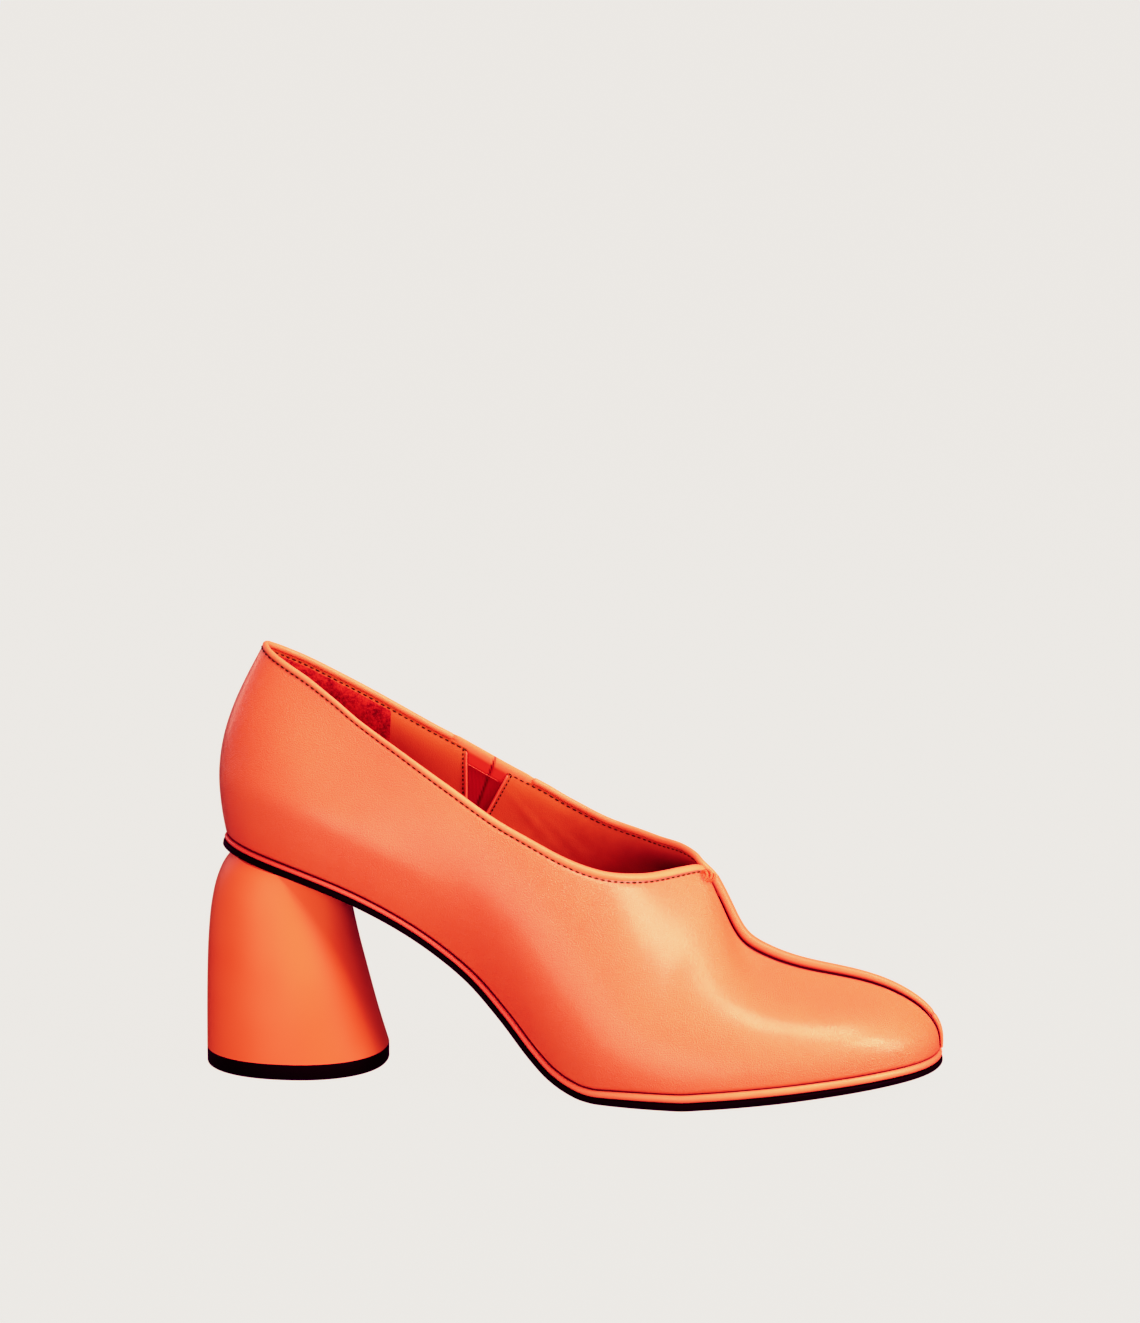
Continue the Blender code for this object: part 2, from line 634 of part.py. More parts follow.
for old in list(bpy.data.objects):
    bpy.data.objects.remove(old, do_unlink=True)

PARTS = collection("heeled_loafer")
CUTTERS = collection("cutters")

sole_plate("outsole", 0, 0, OUTSOLE_THICK, OUTSOLE_EASE, BLACK_RUBBER)
build_rand()
sole_plate("insole", RAND_DEPTH + GAP, RAND_BASE, INSOLE_THICK, INSOLE_EASE, LINING)
build_upper()
build_gore()
build_bindings()
build_piping()
build_heel()
build_heel_lift()
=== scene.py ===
# Heeled loafer for the right foot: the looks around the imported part.
# Shapes are worked out in millimetres on the shoe's own last and turned into metres as each mesh is made.
import math

import bmesh
import bpy
import numpy as np
from mathutils import Matrix


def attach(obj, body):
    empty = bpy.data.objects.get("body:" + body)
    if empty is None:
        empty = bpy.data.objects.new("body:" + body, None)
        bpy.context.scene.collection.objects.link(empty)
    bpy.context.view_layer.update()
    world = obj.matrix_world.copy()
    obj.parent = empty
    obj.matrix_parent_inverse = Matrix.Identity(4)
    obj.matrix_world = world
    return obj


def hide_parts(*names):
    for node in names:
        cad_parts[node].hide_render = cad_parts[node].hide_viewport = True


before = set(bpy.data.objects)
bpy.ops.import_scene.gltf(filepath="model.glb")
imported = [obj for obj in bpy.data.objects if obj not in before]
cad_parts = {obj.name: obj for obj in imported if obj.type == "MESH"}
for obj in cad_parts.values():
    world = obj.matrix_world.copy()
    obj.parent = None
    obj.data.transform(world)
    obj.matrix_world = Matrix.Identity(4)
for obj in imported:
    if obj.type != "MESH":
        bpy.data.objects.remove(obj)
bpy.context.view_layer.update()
print("frame loaded:", len(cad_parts), "nodes")

# The last: what the whole shoe is worked out from
last = {
    "length": 243.0, "ballWidth": 84.6, "heelHeight": 72.3, "backHeight": 136.1, "throatHeight": 66.0,
    "toeSpring": 7.2, "toeTurn": 2.0, "middle": 122.06, "sideShift": 1.31,
    "gap": 0.3, "randDepth": 3.1, "insoleThick": 3.6, "liftThick": 5.0,
    "upperInset": 0.6,
}
sides = {"lateral": -1, "medial": 1}
upright = np.array([0, 0, 1.0])
endShare = 1e-6  # shares this close to 0 or 1 lie at the heel's back or the toe's tip

# Sole underside: percent of length, percent of heel height, percent of toe spring
undersideRows = [
    (2.5, 100.0, 0), (6.6, 97.1, 0), (11.5, 93.4, 0), (16.5, 88.8, 0), (21.4, 83.1, 0), (25.5, 76.9, 0),
    (29.6, 69.3, 0), (33.7, 60.0, 0), (37.9, 48.5, 0), (42.4, 32.1, 0), (46.5, 15.9, 0), (49.0, 8.2, 0),
    (51.4, 3.6, 0), (53.9, 0.8, 0), (56.0, 0, 0), (66.7, 0, 0), (70.8, 0, 11), (79.0, 0, 38),
    (87.2, 0, 67), (94.7, 0, 90), (100.0, 0, 100),
]
# Sole edge: percent of length, percent of ball width to the lateral and to the medial side
soleEdgeRows = [
    (2.6, 0, 0), (3.8, 10.6, 10.6), (6.8, 19.9, 19.9), (11.5, 27.2, 27.2), (18.5, 31.9, 31.4),
    (27.2, 32.7, 30.0), (35.4, 31.9, 26.4), (42.8, 33.8, 25.5), (48.6, 39.0, 30.5), (54.3, 45.6, 38.3),
    (60.9, 50.1, 44.9), (67.5, 51.5, 48.0), (74.1, 50.6, 48.2), (80.7, 47.5, 46.1), (87.2, 41.6, 41.2),
    (92.6, 33.6, 34.6), (96.5, 23.8, 26.3), (99.0, 12.4, 16.2), (100.0, -2.4, 2.4),
]
# Edge of the sole: share along it, thickness of the outsole and of the rand (mm)
edgeRows = [
    (0, 1.9, 1.5), (0.12, 1.9, 1.5), (0.27, 1.7, 1.5), (0.42, 1.5, 1.7), (0.50, 1.7, 2.1), (0.58, 2.1, 2.5),
    (0.70, 2.2, 2.6), (0.85, 1.9, 2.5), (1, 1.3, 2.4),
]
# Collar: percent of length, percent of ball width, percent of height from throat to back, medial rise in mm
collarRows = [
    (7.9, 0, 100.0, 0), (8.8, 6.6, 98.3, 0), (11.3, 12.5, 94.0, 0), (16.9, 18.7, 84.0, 0),
    (27.2, 26.2, 63.1, 0), (37.0, 32.2, 42.5, 0.4), (43.6, 34.8, 28.6, 1.8), (48.6, 35.2, 19.9, 2.6),
    (53.5, 33.3, 12.3, 3.3), (58.4, 28.8, 7.8, 4.2), (61.7, 22.7, 5.9, 4.6), (64.6, 14.9, 5.6, 4.8),
    (67.1, 7.1, 5.0, 3.2), (68.3, 2.6, 3.4, 1.6),
]
# Centre seam of the vamp: percent of length, percent of throat height
seamRows = [
    (69.0, 100.0), (70.3, 91.4), (71.7, 80.9), (73.5, 71.0), (76.1, 64.9), (80.7, 59.0), (86.8, 54.8),
    (91.8, 50.2), (95.5, 43.8), (97.9, 36.8), (99.3, 28.5),
]
# Wall sections: share along the sole edge, lean at the foot, slope at the top, and how far each end keeps on
wallRows = [
    (0, 11, 61, 0.44, 0.40), (0.10, 18, 68, 0.44, 0.40), (0.22, 21, 72, 0.42, 0.42),
    (0.40, 22, 70, 0.40, 0.40), (0.55, 17, 61, 0.37, 0.35), (0.655, 8, 56, 0.36, 0.32),
    (0.72, 6, 44, 0.38, 0.34), (0.80, 6, 27, 0.42, 0.40), (0.90, 6, 22, 0.46, 0.44), (1, 6, 20, 0.46, 0.44),
]
# Which share of the top line a section runs to, behind and ahead of the throat
behindThroat = [(0, 0), (0.19, 0.16), (0.40, 0.38), (0.57, 0.553)]
aheadOfThroat = [(0.74, 0.722), (0.83, 0.818), (0.93, 0.93), (1, 1)]
throatShare = 0.655
# How softly the wall turns where collar and seam meet, and how far it leans forward there
throatEase = {"reach": 0.024, "window": 0.13, "edge": 0.35}
throatLean = {"forward": 0.26, "reach": 0.06}
# Runs of the top line (mm) over which the way out turns level with the seam, and straight back at the heel
seamBlend = 14.0
backBlend = 4.0


def column(rows, k):
    return np.array([row[k] for row in rows], float)


def monotone(knots, values, at):  # a cubic through a table's column that never overshoots its rows
    at = np.asarray(at, float)
    width = np.diff(knots)
    grade = np.diff(values) / width
    tangent = np.concatenate([grade[:1], np.zeros(len(grade) - 1), grade[-1:]])
    for i in range(1, len(grade)):
        if grade[i - 1] * grade[i] > 0:
            near, far = 2 * width[i] + width[i - 1], width[i] + 2 * width[i - 1]
            tangent[i] = (near + far) / (near / grade[i - 1] + far / grade[i])
    inside = np.clip(at, knots[0], knots[-1])
    i = np.clip(np.searchsorted(knots, inside, side="right") - 1, 0, len(width) - 1)
    t = (inside - knots[i]) / width[i]
    rise = t * t * (3 - 2 * t)
    start = t * (1 - t) ** 2 * width[i] * tangent[i]
    end = t * t * (t - 1) * width[i] * tangent[i + 1]
    past = np.where(at < inside, tangent[0], tangent[-1]) * (at - inside)
    return values[i] * (1 - rise) + values[i + 1] * rise + start + end + past


def tableAt(rows, at, k=1):
    return monotone(column(rows, 0), column(rows, k), at)


def curveThrough(points, samples=1600):  # a natural cubic by chord length
    points = np.array(points, float)
    count = len(points)
    step = np.linalg.norm(np.diff(points, axis=0), axis=1)
    knots = np.concatenate([[0], np.cumsum(step)])
    system = np.eye(count)
    bend = np.zeros_like(points)
    for i in range(1, count - 1):
        system[i, i - 1:i + 2] = step[i - 1], 2 * (step[i - 1] + step[i]), step[i]
        bend[i] = 6 * ((points[i + 1] - points[i]) / step[i] - (points[i] - points[i - 1]) / step[i - 1])
    bend = np.linalg.solve(system, bend)
    at = np.linspace(0, knots[-1], samples)
    i = np.clip(np.searchsorted(knots, at, side="right") - 1, 0, count - 2)
    left, right, width = (v[:, None] for v in (knots[i + 1] - at, at - knots[i], step[i]))
    cubic = (bend[i] * left ** 3 + bend[i + 1] * right ** 3) / (6 * width)
    fromLeft = (points[i] / width - bend[i] * width / 6) * left
    fromRight = (points[i + 1] / width - bend[i + 1] * width / 6) * right
    return cubic + fromLeft + fromRight


def runAlong(curve):
    return np.concatenate([[0], np.cumsum(np.linalg.norm(np.diff(curve, axis=0), axis=1))])


def atShare(curve, share):
    run = runAlong(curve)
    at = np.asarray(share, float) * run[-1]
    return np.stack([np.interp(at, run, curve[:, k]) for k in range(curve.shape[1])], -1)


def unit(vectors):
    return vectors / np.maximum(np.linalg.norm(vectors, axis=-1, keepdims=True), 1e-9)


def nearest(curve, point):
    return int(np.linalg.norm(curve - np.array(point), axis=1).argmin())


def smooth(t):
    t = np.clip(t, 0, 1)
    return t * t * (3 - 2 * t)


def bell(t):
    return np.exp(-t ** 2)


def crowded(count, amount):  # 0 to 1, closer together at both ends
    even = np.linspace(0, 1, count)
    return even - amount * np.sin(2 * np.pi * even) / (2 * np.pi)


def beside(*parts):
    return np.concatenate(parts, 1)


def outwardAt(curve, share, step, turn):  # level and square to a curve, away from the shoe
    along = atShare(curve, np.clip(share + step, 0, 1)) - atShare(curve, np.clip(share - step, 0, 1))
    return unit(np.stack([-turn * along[..., 1], turn * along[..., 0]], -1))


def underside(station):
    heights = column(undersideRows, 1) * last["heelHeight"] + column(undersideRows, 2) * last["toeSpring"]
    return monotone(column(undersideRows, 0) * last["length"] / 100, heights / 100, station)


def solePoint(station, sideways, height):  # height is above the underside, along its normal
    station = np.asarray(station, float)
    slope = underside(station + 0.5) - underside(station - 0.5)
    tilt = np.sqrt(1 + slope ** 2)
    forward, upward = station - height * slope / tilt, underside(station) + height / tilt
    return np.stack([forward, sideways + 0 * station, upward], -1)


def randBase(share):
    return tableAt(edgeRows, share, 1) + last["gap"]


def feather(share):  # where the upper's foot stands
    return randBase(share) + tableAt(edgeRows, share, 2) + last["gap"]


def edgeHalves():
    length, width = last["length"] / 100, last["ballWidth"] / 100
    lateral = [(row[0] * length, -row[1] * width) for row in soleEdgeRows]
    medial = [(row[0] * length, row[2] * width) for row in soleEdgeRows]
    loop = lateral[:-1] + medial[:0:-1]
    lap, half = 6, 2400
    curve = curveThrough(loop[-lap:] + loop + loop[:lap + 1], 2 * half)
    first, stop = nearest(curve[:half], loop[0]), half + nearest(curve[half:], loop[0])
    curve = curve[first:stop]
    curve = np.roll(curve, -int(curve[:, 0].argmin()), axis=0)
    tip = int(curve[:, 0].argmax())
    return {"lateral": curve[:tip + 1], "medial": np.concatenate([curve[tip:], curve[:1]])[::-1]}


edgeCurves = edgeHalves()


def soleEdge(side, share, inset):
    share = np.asarray(share, float)
    curve = edgeCurves[side]
    outward = outwardAt(curve, share, 0.001, sides[side])
    outward = np.where((share < endShare)[..., None], [-1.0, 0.0], outward)
    outward = np.where((share > 1 - endShare)[..., None], [1.0, 0.0], outward)
    return atShare(curve, share) - inset * outward, outward


def topLine(side):
    length, width = last["length"] / 100, last["ballWidth"] / 100
    rise = (last["backHeight"] - last["throatHeight"]) / 100

    def collarPoint(row, turn):
        height = last["throatHeight"] + row[2] * rise + turn * row[3] / 2
        return row[0] * length, turn * row[1] * width, height

    turn = sides[side]
    leadIn = [collarPoint(row, -turn) for row in collarRows[5:0:-1]]
    collar = [collarPoint(row, turn) for row in collarRows]
    seam = [(row[0] * length, 0, row[1] * last["throatHeight"] / 100) for row in seamRows]
    tip, _ = soleEdge(side, [1.0], last["upperInset"])
    foot = solePoint(tip[:, 0], tip[:, 1], feather(1.0))[0]
    curve = curveThrough(leadIn + collar + seam + [(foot[0], 0, foot[2])])
    return curve[nearest(curve, collar[0]):], seam[0]


def splitTop():
    halves, seams = {}, []
    for side, turn in sides.items():
        curve, throat = topLine(side)
        cut = nearest(curve, throat)
        collar = curve[:cut + 1].copy()
        collar[:, 1] = turn * np.maximum(turn * collar[:, 1], 0)
        collar[-1] = throat
        halves[side] = collar
        seams.append(atShare(curve[cut:], np.linspace(0, 1, 800)))
    seam = (seams[0] + seams[1]) / 2
    start = seamRows[0][0] * last["length"] / 100
    turned = np.clip((seam[:, 0] - start) / (last["length"] - start), 0, 1)
    seam[:, 1] = last["toeTurn"] * turned ** 2
    seam[0] = halves["lateral"][-1]
    return halves, seam


collarLines, seamLine = splitTop()
seamLength = runAlong(seamLine)[-1]
collarLengths = {side: runAlong(collarLines[side])[-1] for side in sides}


def topRun(side, footShare):
    collar = collarLengths[side]
    whole = collar + seamLength
    match = behindThroat + [(throatShare, collar / whole)] + aheadOfThroat
    return tableAt(match, footShare) * whole


def shareAtRun(side, run):
    shares = np.linspace(0, 1, 2001)
    return np.interp(run, topRun(side, shares), shares)


def wallTop(side, footShare):
    line, turn, collar = collarLines[side], sides[side], collarLengths[side]
    run = topRun(side, footShare)
    onCollar, onSeam = np.clip(run / collar, 0, 1), np.clip((run - collar) / seamLength, 0, 1)
    point = np.where((run < collar)[:, None], atShare(line, onCollar), atShare(seamLine, onSeam))
    back = np.clip(1 - run / backBlend, 0, 1)[:, None]
    ahead = smooth((run - collar + seamBlend) / (1.6 * seamBlend))[:, None]
    outward = unit(outwardAt(line, onCollar, 0.008, turn) * (1 - back) + np.array([-1.0, 0]) * back)
    return point, unit(outward * (1 - ahead) + np.array([0, turn]) * ahead)


def level(directions):
    return beside(directions, np.zeros((len(directions), 1)))


def wallFrame(side, share):
    share = np.asarray(share, float)
    edge, outward = soleEdge(side, share, last["upperInset"])
    foot = solePoint(edge[:, 0], edge[:, 1], feather(share))
    top, inward = wallTop(side, share)
    top = np.where((share > 1 - endShare)[:, None], foot, top)
    lean, slope, low, high = (tableAt(wallRows, share, k)[:, None] for k in (1, 2, 3, 4))
    lean, slope = np.radians(lean), np.radians(slope)
    chord = np.linalg.norm(top - foot, axis=1, keepdims=True)
    rising = level(outward) * np.sin(lean) + upright * np.cos(lean)
    falling = level(inward) * np.cos(slope) - upright * np.sin(slope)
    near = bell((share - throatShare) / throatLean["reach"])[:, None]
    falling = unit(falling + near * np.array([throatLean["forward"], 0, 0]))
    return foot, foot + low * chord * rising, top + high * chord * falling, top, falling


def softFrame(side, share):  # the wall's frame, averaged along the sole near the throat
    share = np.asarray(share, float)
    reach = throatEase["reach"] * bell((share - throatShare) / throatEase["window"])
    steps = np.linspace(-2.4, 2.4, 21)
    weights = np.exp(-steps ** 2 / 2)
    frames = [np.array(wallFrame(side, np.clip(share + step * reach, 0, 1))) for step in steps]
    return np.tensordot(weights / weights.sum(), np.array(frames), 1)


def upperWall(side, share, rise):
    foot, _, _, top, _ = (v[:, None, :] for v in wallFrame(side, share))
    _, low, high, softTop, _ = (v[:, None, :] for v in softFrame(side, share))
    t = np.asarray(rise, float)[None, :, None]
    wall = foot * (1 - t) ** 3 + 3 * low * t * (1 - t) ** 2 + 3 * high * t * t * (1 - t) + softTop * t ** 3
    return wall + (top - softTop) * smooth(1 - (1 - t) / throatEase["edge"])


def topNormal(share, top, falling):
    along = unit(np.gradient(top, share, axis=0))
    across = np.cross(along, falling)
    return unit(across * np.sign(across[:, 2:3] + 1e-9))


def toMetres(points):
    shifted = np.asarray(points, float) + np.array([-last["middle"], last["sideShift"], 0])
    return shifted.reshape(-1, 3) * 0.001


print("last worked out: collar", round(collarLengths["lateral"]), "mm a side, seam", round(seamLength), "mm")


# Mesh making

weld = 0.000004  # points this close become one (m)
sharpAngle = 48
threadSides = 10


def addObject(name, data, matrix=None):
    made = bpy.data.objects.new(name, data)
    bpy.context.scene.collection.objects.link(made)
    if matrix is not None:
        made.matrix_world = matrix
    return made


# Closed rings of points, of which the first and last are capped, open or joined
def meshPiece(name, rings, ends="capped", tags=None):
    rings, tags = np.asarray(rings, float), tags or {}
    count, width = rings.shape[:2]
    bm = bmesh.new()
    for tag in tags:
        bm.verts.layers.float.new(tag)
    verts = [bm.verts.new(p) for p in toMetres(rings)]
    for tag, values in tags.items():
        layer = bm.verts.layers.float[tag]
        for vert, value in zip(verts, np.asarray(values, float).ravel()):
            vert[layer] = value
    grid = [verts[k * width:(k + 1) * width] for k in range(count)]
    for k in range(count if ends == "joined" else count - 1):
        here, after = grid[k], grid[(k + 1) % count]
        for j in range(width):
            m = (j + 1) % width
            bm.faces.new((here[j], here[m], after[m], after[j]))
    if ends == "capped":
        bm.faces.new(grid[0])
        bm.faces.new(grid[-1])
    bmesh.ops.remove_doubles(bm, verts=bm.verts, dist=weld)
    bmesh.ops.recalc_face_normals(bm, faces=bm.faces)
    return fromBmesh(name, bm)


def fromBmesh(name, bm):
    mesh = bpy.data.meshes.new(name)
    bm.to_mesh(mesh)
    bm.free()
    mesh.shade_smooth()
    mesh.set_sharp_from_angle(angle=math.radians(sharpAngle))
    return addObject(name, mesh)


def dress(piece, finish, slot, *nodes):  # finish, body, slot and the solids that the piece stands for; the slot is not used
    piece.data.materials.clear()
    piece.data.materials.append(finish)
    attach(piece, "root")
    if nodes:
        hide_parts(*nodes)


def makePiece(name, rings, finish, slot, *nodes, ends="capped", tags=None):
    dress(meshPiece(name, rings, ends, tags), finish, slot, *nodes)


def settle(piece):  # turns live modifiers into a plain mesh
    shown = piece.evaluated_get(bpy.context.evaluated_depsgraph_get())
    mesh = bpy.data.meshes.new_from_object(shown)
    piece.modifiers.clear()
    piece.data = mesh


def evenly(line, count):  # a path, with whatever rides along in its further columns, at even steps
    run = runAlong(line[:, :3])
    at = np.linspace(0, run[-1], count)
    return np.stack([np.interp(at, run, line[:, k]) for k in range(line.shape[1])], -1)


def sweep(line, wide, tall, turns):  # oval rings: columns are the path, the way out and the way up
    path, side, up = line[:, :3], unit(line[:, 3:6]), line[:, 6:9]
    along = unit(np.gradient(path, axis=0))
    side = unit(side - (side * along).sum(1, keepdims=True) * along)
    crown = np.cross(along, side)
    crown = crown * np.sign((crown * up).sum(1, keepdims=True))
    angle = np.linspace(0, 2 * np.pi, turns, endpoint=False)
    wide, tall = (np.broadcast_to(v, len(line))[:, None, None] for v in (wide, tall))
    across = side[:, None] * np.cos(angle)[None, :, None] * wide
    return path[:, None] + across + crown[:, None] * np.sin(angle)[None, :, None] * tall


def roundedEnds(path, ease):  # what share of its size a roll has at each place, rounded off at both ends
    run = runAlong(path[:, :3])
    inside = np.clip(np.minimum(run, run[-1] - run) / ease, 0, 1)
    return np.sqrt(np.clip(1 - (1 - inside) ** 2, 0.0025, 1))


# Shader maths: a socket that takes part in Python sums

def plug(target, value):
    if isinstance(value, Wire):
        target.id_data.links.new(value.socket, target)
    else:
        target.default_value = value


class Wire:
    def __init__(self, socket):
        self.socket = socket

    def node(self, kind, settings=None, sockets=None, out=0):
        made = self.socket.id_data.nodes.new("ShaderNode" + kind)
        for name, value in (settings or {}).items():
            setattr(made, name, value)
        for name, value in (sockets or {}).items():
            plug(made.inputs[name], value)
        return Wire(made.outputs[out])

    def sum(self, operation, first, second=0.0):
        return self.node("Math", {"operation": operation}, {0: first, 1: second})

    def __add__(self, other):
        return self.sum("ADD", self, other)

    def __rsub__(self, other):
        return self.sum("SUBTRACT", other, self)

    def __mul__(self, other):
        return self.sum("MULTIPLY", self, other)

    __radd__ = __add__
    __rmul__ = __mul__

    def band(self, low, high):  # 0 below low, 1 above high, soft between
        return self.node("MapRange", {"interpolation_type": "SMOOTHSTEP"},
                         {"Value": self, "From Min": low, "From Max": high})

    def mix(self, first, second):  # a colour between two, by this value
        settings = {"data_type": "RGBA", "clamp_factor": True}
        return self.node("Mix", settings, {0: self, 6: first, 7: second}, 2)

    def noise(self, scale, detail=3.0, roughness=0.55):
        return self.node("TexNoise", None,
                         {"Vector": self, "Scale": scale, "Detail": detail, "Roughness": roughness})

    def cells(self, scale, feature, smoothness=1.0):
        sockets = {"Vector": self, "Scale": scale}
        if feature == "SMOOTH_F1":
            sockets["Smoothness"] = smoothness
        return self.node("TexVoronoi", {"feature": feature}, sockets)

    def shifted(self, by, amount):  # coordinates pushed about by a colour
        pushed = self.node("VectorMath", {"operation": "SCALE"}, {0: by, "Scale": amount})
        return self.node("VectorMath", {"operation": "ADD"}, {0: self, 1: pushed})

    def tag(self, name):  # a float kept on the mesh
        return self.node("Attribute", {"attribute_name": name}, None, 2)


def startFinish(name):  # a Principled material and the object's coordinates
    material = bpy.data.materials.new(name)
    material.use_nodes = True
    place = material.node_tree.nodes.new("ShaderNodeTexCoord")
    return material, Wire(place.outputs["Object"])


def endFinish(material, color, roughness, height, depth, strength, shine, constants=None):
    shader = material.node_tree.nodes["Principled BSDF"].inputs
    plug(shader["Base Color"], color)
    plug(shader["Roughness"], roughness)
    relief = {"Strength": strength, "Distance": depth, "Height": height}
    plug(shader["Normal"], height.node("Bump", None, relief))
    for name, value in {"Specular IOR Level": shine, **(constants or {})}.items():
        shader[name].default_value = value
    return material


def rgb(red, green, blue):
    return (red, green, blue, 1.0)


# Leather tones; the groove colour is painted shade for the dark lines along grooves and joints
leather = {
    "mid": rgb(0.80, 0.154, 0.056), "warm": rgb(0.82, 0.170, 0.062), "deep": rgb(0.77, 0.133, 0.048),
    "grooveShade": rgb(0.075, 0.004, 0.002), "grainSize": 2400, "grainDepth": 0.00017, "gloss": 0.33,
}


def calfFinish(name, tone, grainDepth, gloss, paintsGrooveShade, shaded=False, shine=0.5, coat=0.1):
    material, place = startFinish(name)
    cloud = place.noise(20, 3)
    mottle = place.noise(190, 2)
    color = cloud.band(0.35, 0.65).mix(tone["deep"], tone["warm"])
    color = (mottle.band(0.3, 0.7) * 0.5 + 0.25).mix(color, tone["mid"])
    swirl = place.node("TexNoise", None, {"Vector": place, "Scale": 600, "Detail": 2}, 1)
    warp = place.shifted(swirl, 0.0005)
    pebble = warp.cells(tone["grainSize"], "SMOOTH_F1", 0.35)
    fold = warp.cells(tone["grainSize"] * 0.8, "DISTANCE_TO_EDGE")
    pores = place.noise(5200, 2)
    grain = (1 - pebble.band(0.05, 0.7)) * 0.6 + fold.band(0.0, 0.16) * 0.3 + pores * 0.1
    color = (grain.band(0.1, 0.4) * 0.25 + 0.75).mix(tone["deep"], color)
    roughness = gloss + (1 - grain) * 0.12 + cloud * 0.04
    # Painted shade: darker towards the tone's shade colour, by the shade tag
    if shaded:
        color = place.tag("shade").mix(color, tone["shade"])
    # Painted shade along grooves and joints, laid on by the groove tag; those places are also rougher
    if paintsGrooveShade:
        grooveShade = place.tag("grooveShade")
        color = grooveShade.mix(color, tone["grooveShade"])
        roughness = roughness + grooveShade * 0.3
    return endFinish(material, color, roughness, grain, grainDepth, 0.9, shine,
                     {"Coat Weight": coat, "Coat Roughness": 0.25})


edgeTone = dict(leather, mid=rgb(0.86, 0.21, 0.088), warm=rgb(0.90, 0.26, 0.11), deep=rgb(0.80, 0.16, 0.062))
# The rand's shade colour is painted shade for its seat, waist and toe
randTone = dict(edgeTone, shade=rgb(0.72, 0.115, 0.056))
heelTone = {"warm": rgb(0.82, 0.178, 0.064), "deep": rgb(0.76, 0.140, 0.047)}
# Lining tones are set darker than the kid's own colour, as painted shade for the inside of the shoe; the
# shade colour is painted shade deep in the shoe
liningTone = dict(leather, mid=rgb(0.48, 0.106, 0.033), warm=rgb(0.53, 0.126, 0.040),
                  deep=rgb(0.40, 0.080, 0.024), shade=rgb(0.07, 0.002, 0.008))
edgingTone = dict(leather, mid=rgb(0.74, 0.13, 0.06), warm=rgb(0.80, 0.17, 0.08), deep=rgb(0.60, 0.07, 0.03))

upperFinish = calfFinish("upper_calf", leather, leather["grainDepth"], leather["gloss"], True,
                         shine=0.65, coat=0.36)
edgeFinish = calfFinish("rolled_edge", edgeTone, 0.00005, 0.46, True)
pipingFinish = calfFinish("piping_calf", dict(leather, grainSize=2600), 0.00005, 0.42, True)
randFinish = calfFinish("rand_edge", randTone, 0.00005, 0.46, True, True)
liningFinish = calfFinish("lining_kid", liningTone, 0.00005, 0.55, True, True, 0.15, 0)
edgingFinish = calfFinish("folded_edge", edgingTone, 0.00003, 0.5, False, coat=0)


def heelCoverFinish():
    material, place = startFinish("heel_cover")
    cloud = place.noise(18, 2)
    fine = place.noise(2600, 3)
    color = cloud.band(0.35, 0.65).mix(heelTone["deep"], heelTone["warm"])
    return endFinish(material, color, 0.44 + cloud * 0.06 + fine * 0.06, fine, 0.00002, 0.5, 0.22)


def suedeFinish():
    material, place = startFinish("suede_grip")
    nap = place.noise(1150, 4, 0.75)
    patch = place.noise(240, 2)
    color = (nap * 0.6 + patch * 0.4).band(0.35, 0.65).mix(rgb(0.10, 0.003, 0.003), rgb(0.50, 0.055, 0.022))
    return endFinish(material, color, 0.85 + nap * 0.1, nap, 0.0003, 0.9, 0.2, {
        "Sheen Weight": 0.35, "Sheen Roughness": 0.4, "Sheen Tint": rgb(0.9, 0.12, 0.08)})


def rubberFinish(name, color, gloss, stipple):
    material, place = startFinish(name)
    speck = place.noise(1400, 3, 0.6)
    wear = place.noise(60, 3)
    shade = wear.band(0.3, 0.75).mix(color, tuple(1.8 * c for c in color[:3]) + (1.0,))
    return endFinish(material, shade, gloss + speck * 0.16 + wear * 0.08, speck, stipple, 0.7, 0.04)


def threadFinish(name, dark, light, shine=0.08):
    material, place = startFinish(name)
    twist = place.noise(3800, 2)
    color = twist.band(0.3, 0.7).mix(dark, light)
    return endFinish(material, color, 0.6 + twist * 0.15, twist, 0.00008, 0.7, shine)


def elasticFinish():
    material, place = startFinish("gore_elastic")
    split = place.node("SeparateXYZ", None, {0: place})
    run = split + place.noise(300, 2) * 0.0006
    ribbed = place.tag("rib") * (1 - place.tag("hem"))
    rib = (run.sum("SINE", run * 5200) * 0.5 + 0.5) * ribbed
    fuzz = place.noise(2600, 3)
    color = (rib * 0.7 + fuzz * 0.3).mix(rgb(0.24, 0.020, 0.012), rgb(0.30, 0.032, 0.016))
    color = place.tag("hem").mix(color, rgb(0.52, 0.070, 0.030))
    color = place.tag("lip").mix(color, rgb(0.84, 0.190, 0.080))
    # Painted shade in the gore's slit
    color = place.tag("grooveShade").mix(color, rgb(0.06, 0.002, 0.002))
    return endFinish(material, color, 0.55 + fuzz * 0.2, rib * 0.7 + fuzz * 0.3, 0.00016, 0.8, 0.2)


heelFinish = heelCoverFinish()
suede = suedeFinish()
soleRubber = rubberFinish("sole_rubber", rgb(0.0008, 0.0006, 0.0001), 0.48, 0.00009)
liftRubber = rubberFinish("lift_rubber", rgb(0.0006, 0.0005, 0.0001), 0.52, 0.00012)
seamThread = threadFinish("seam_thread", rgb(0.026, 0.026, 0.003), rgb(0.044, 0.040, 0.006), 0.0)
hemThread = threadFinish("hem_thread", rgb(0.42, 0.030, 0.014), rgb(0.80, 0.20, 0.10))
tackThread = threadFinish("tack_thread", rgb(0.52, 0.070, 0.026), rgb(0.86, 0.240, 0.095))
goreFinish = elasticFinish()
print("finishes made:", len(bpy.data.materials))


# Upper: two leather sides in one shell, joined round the heel and butted at the centre seam

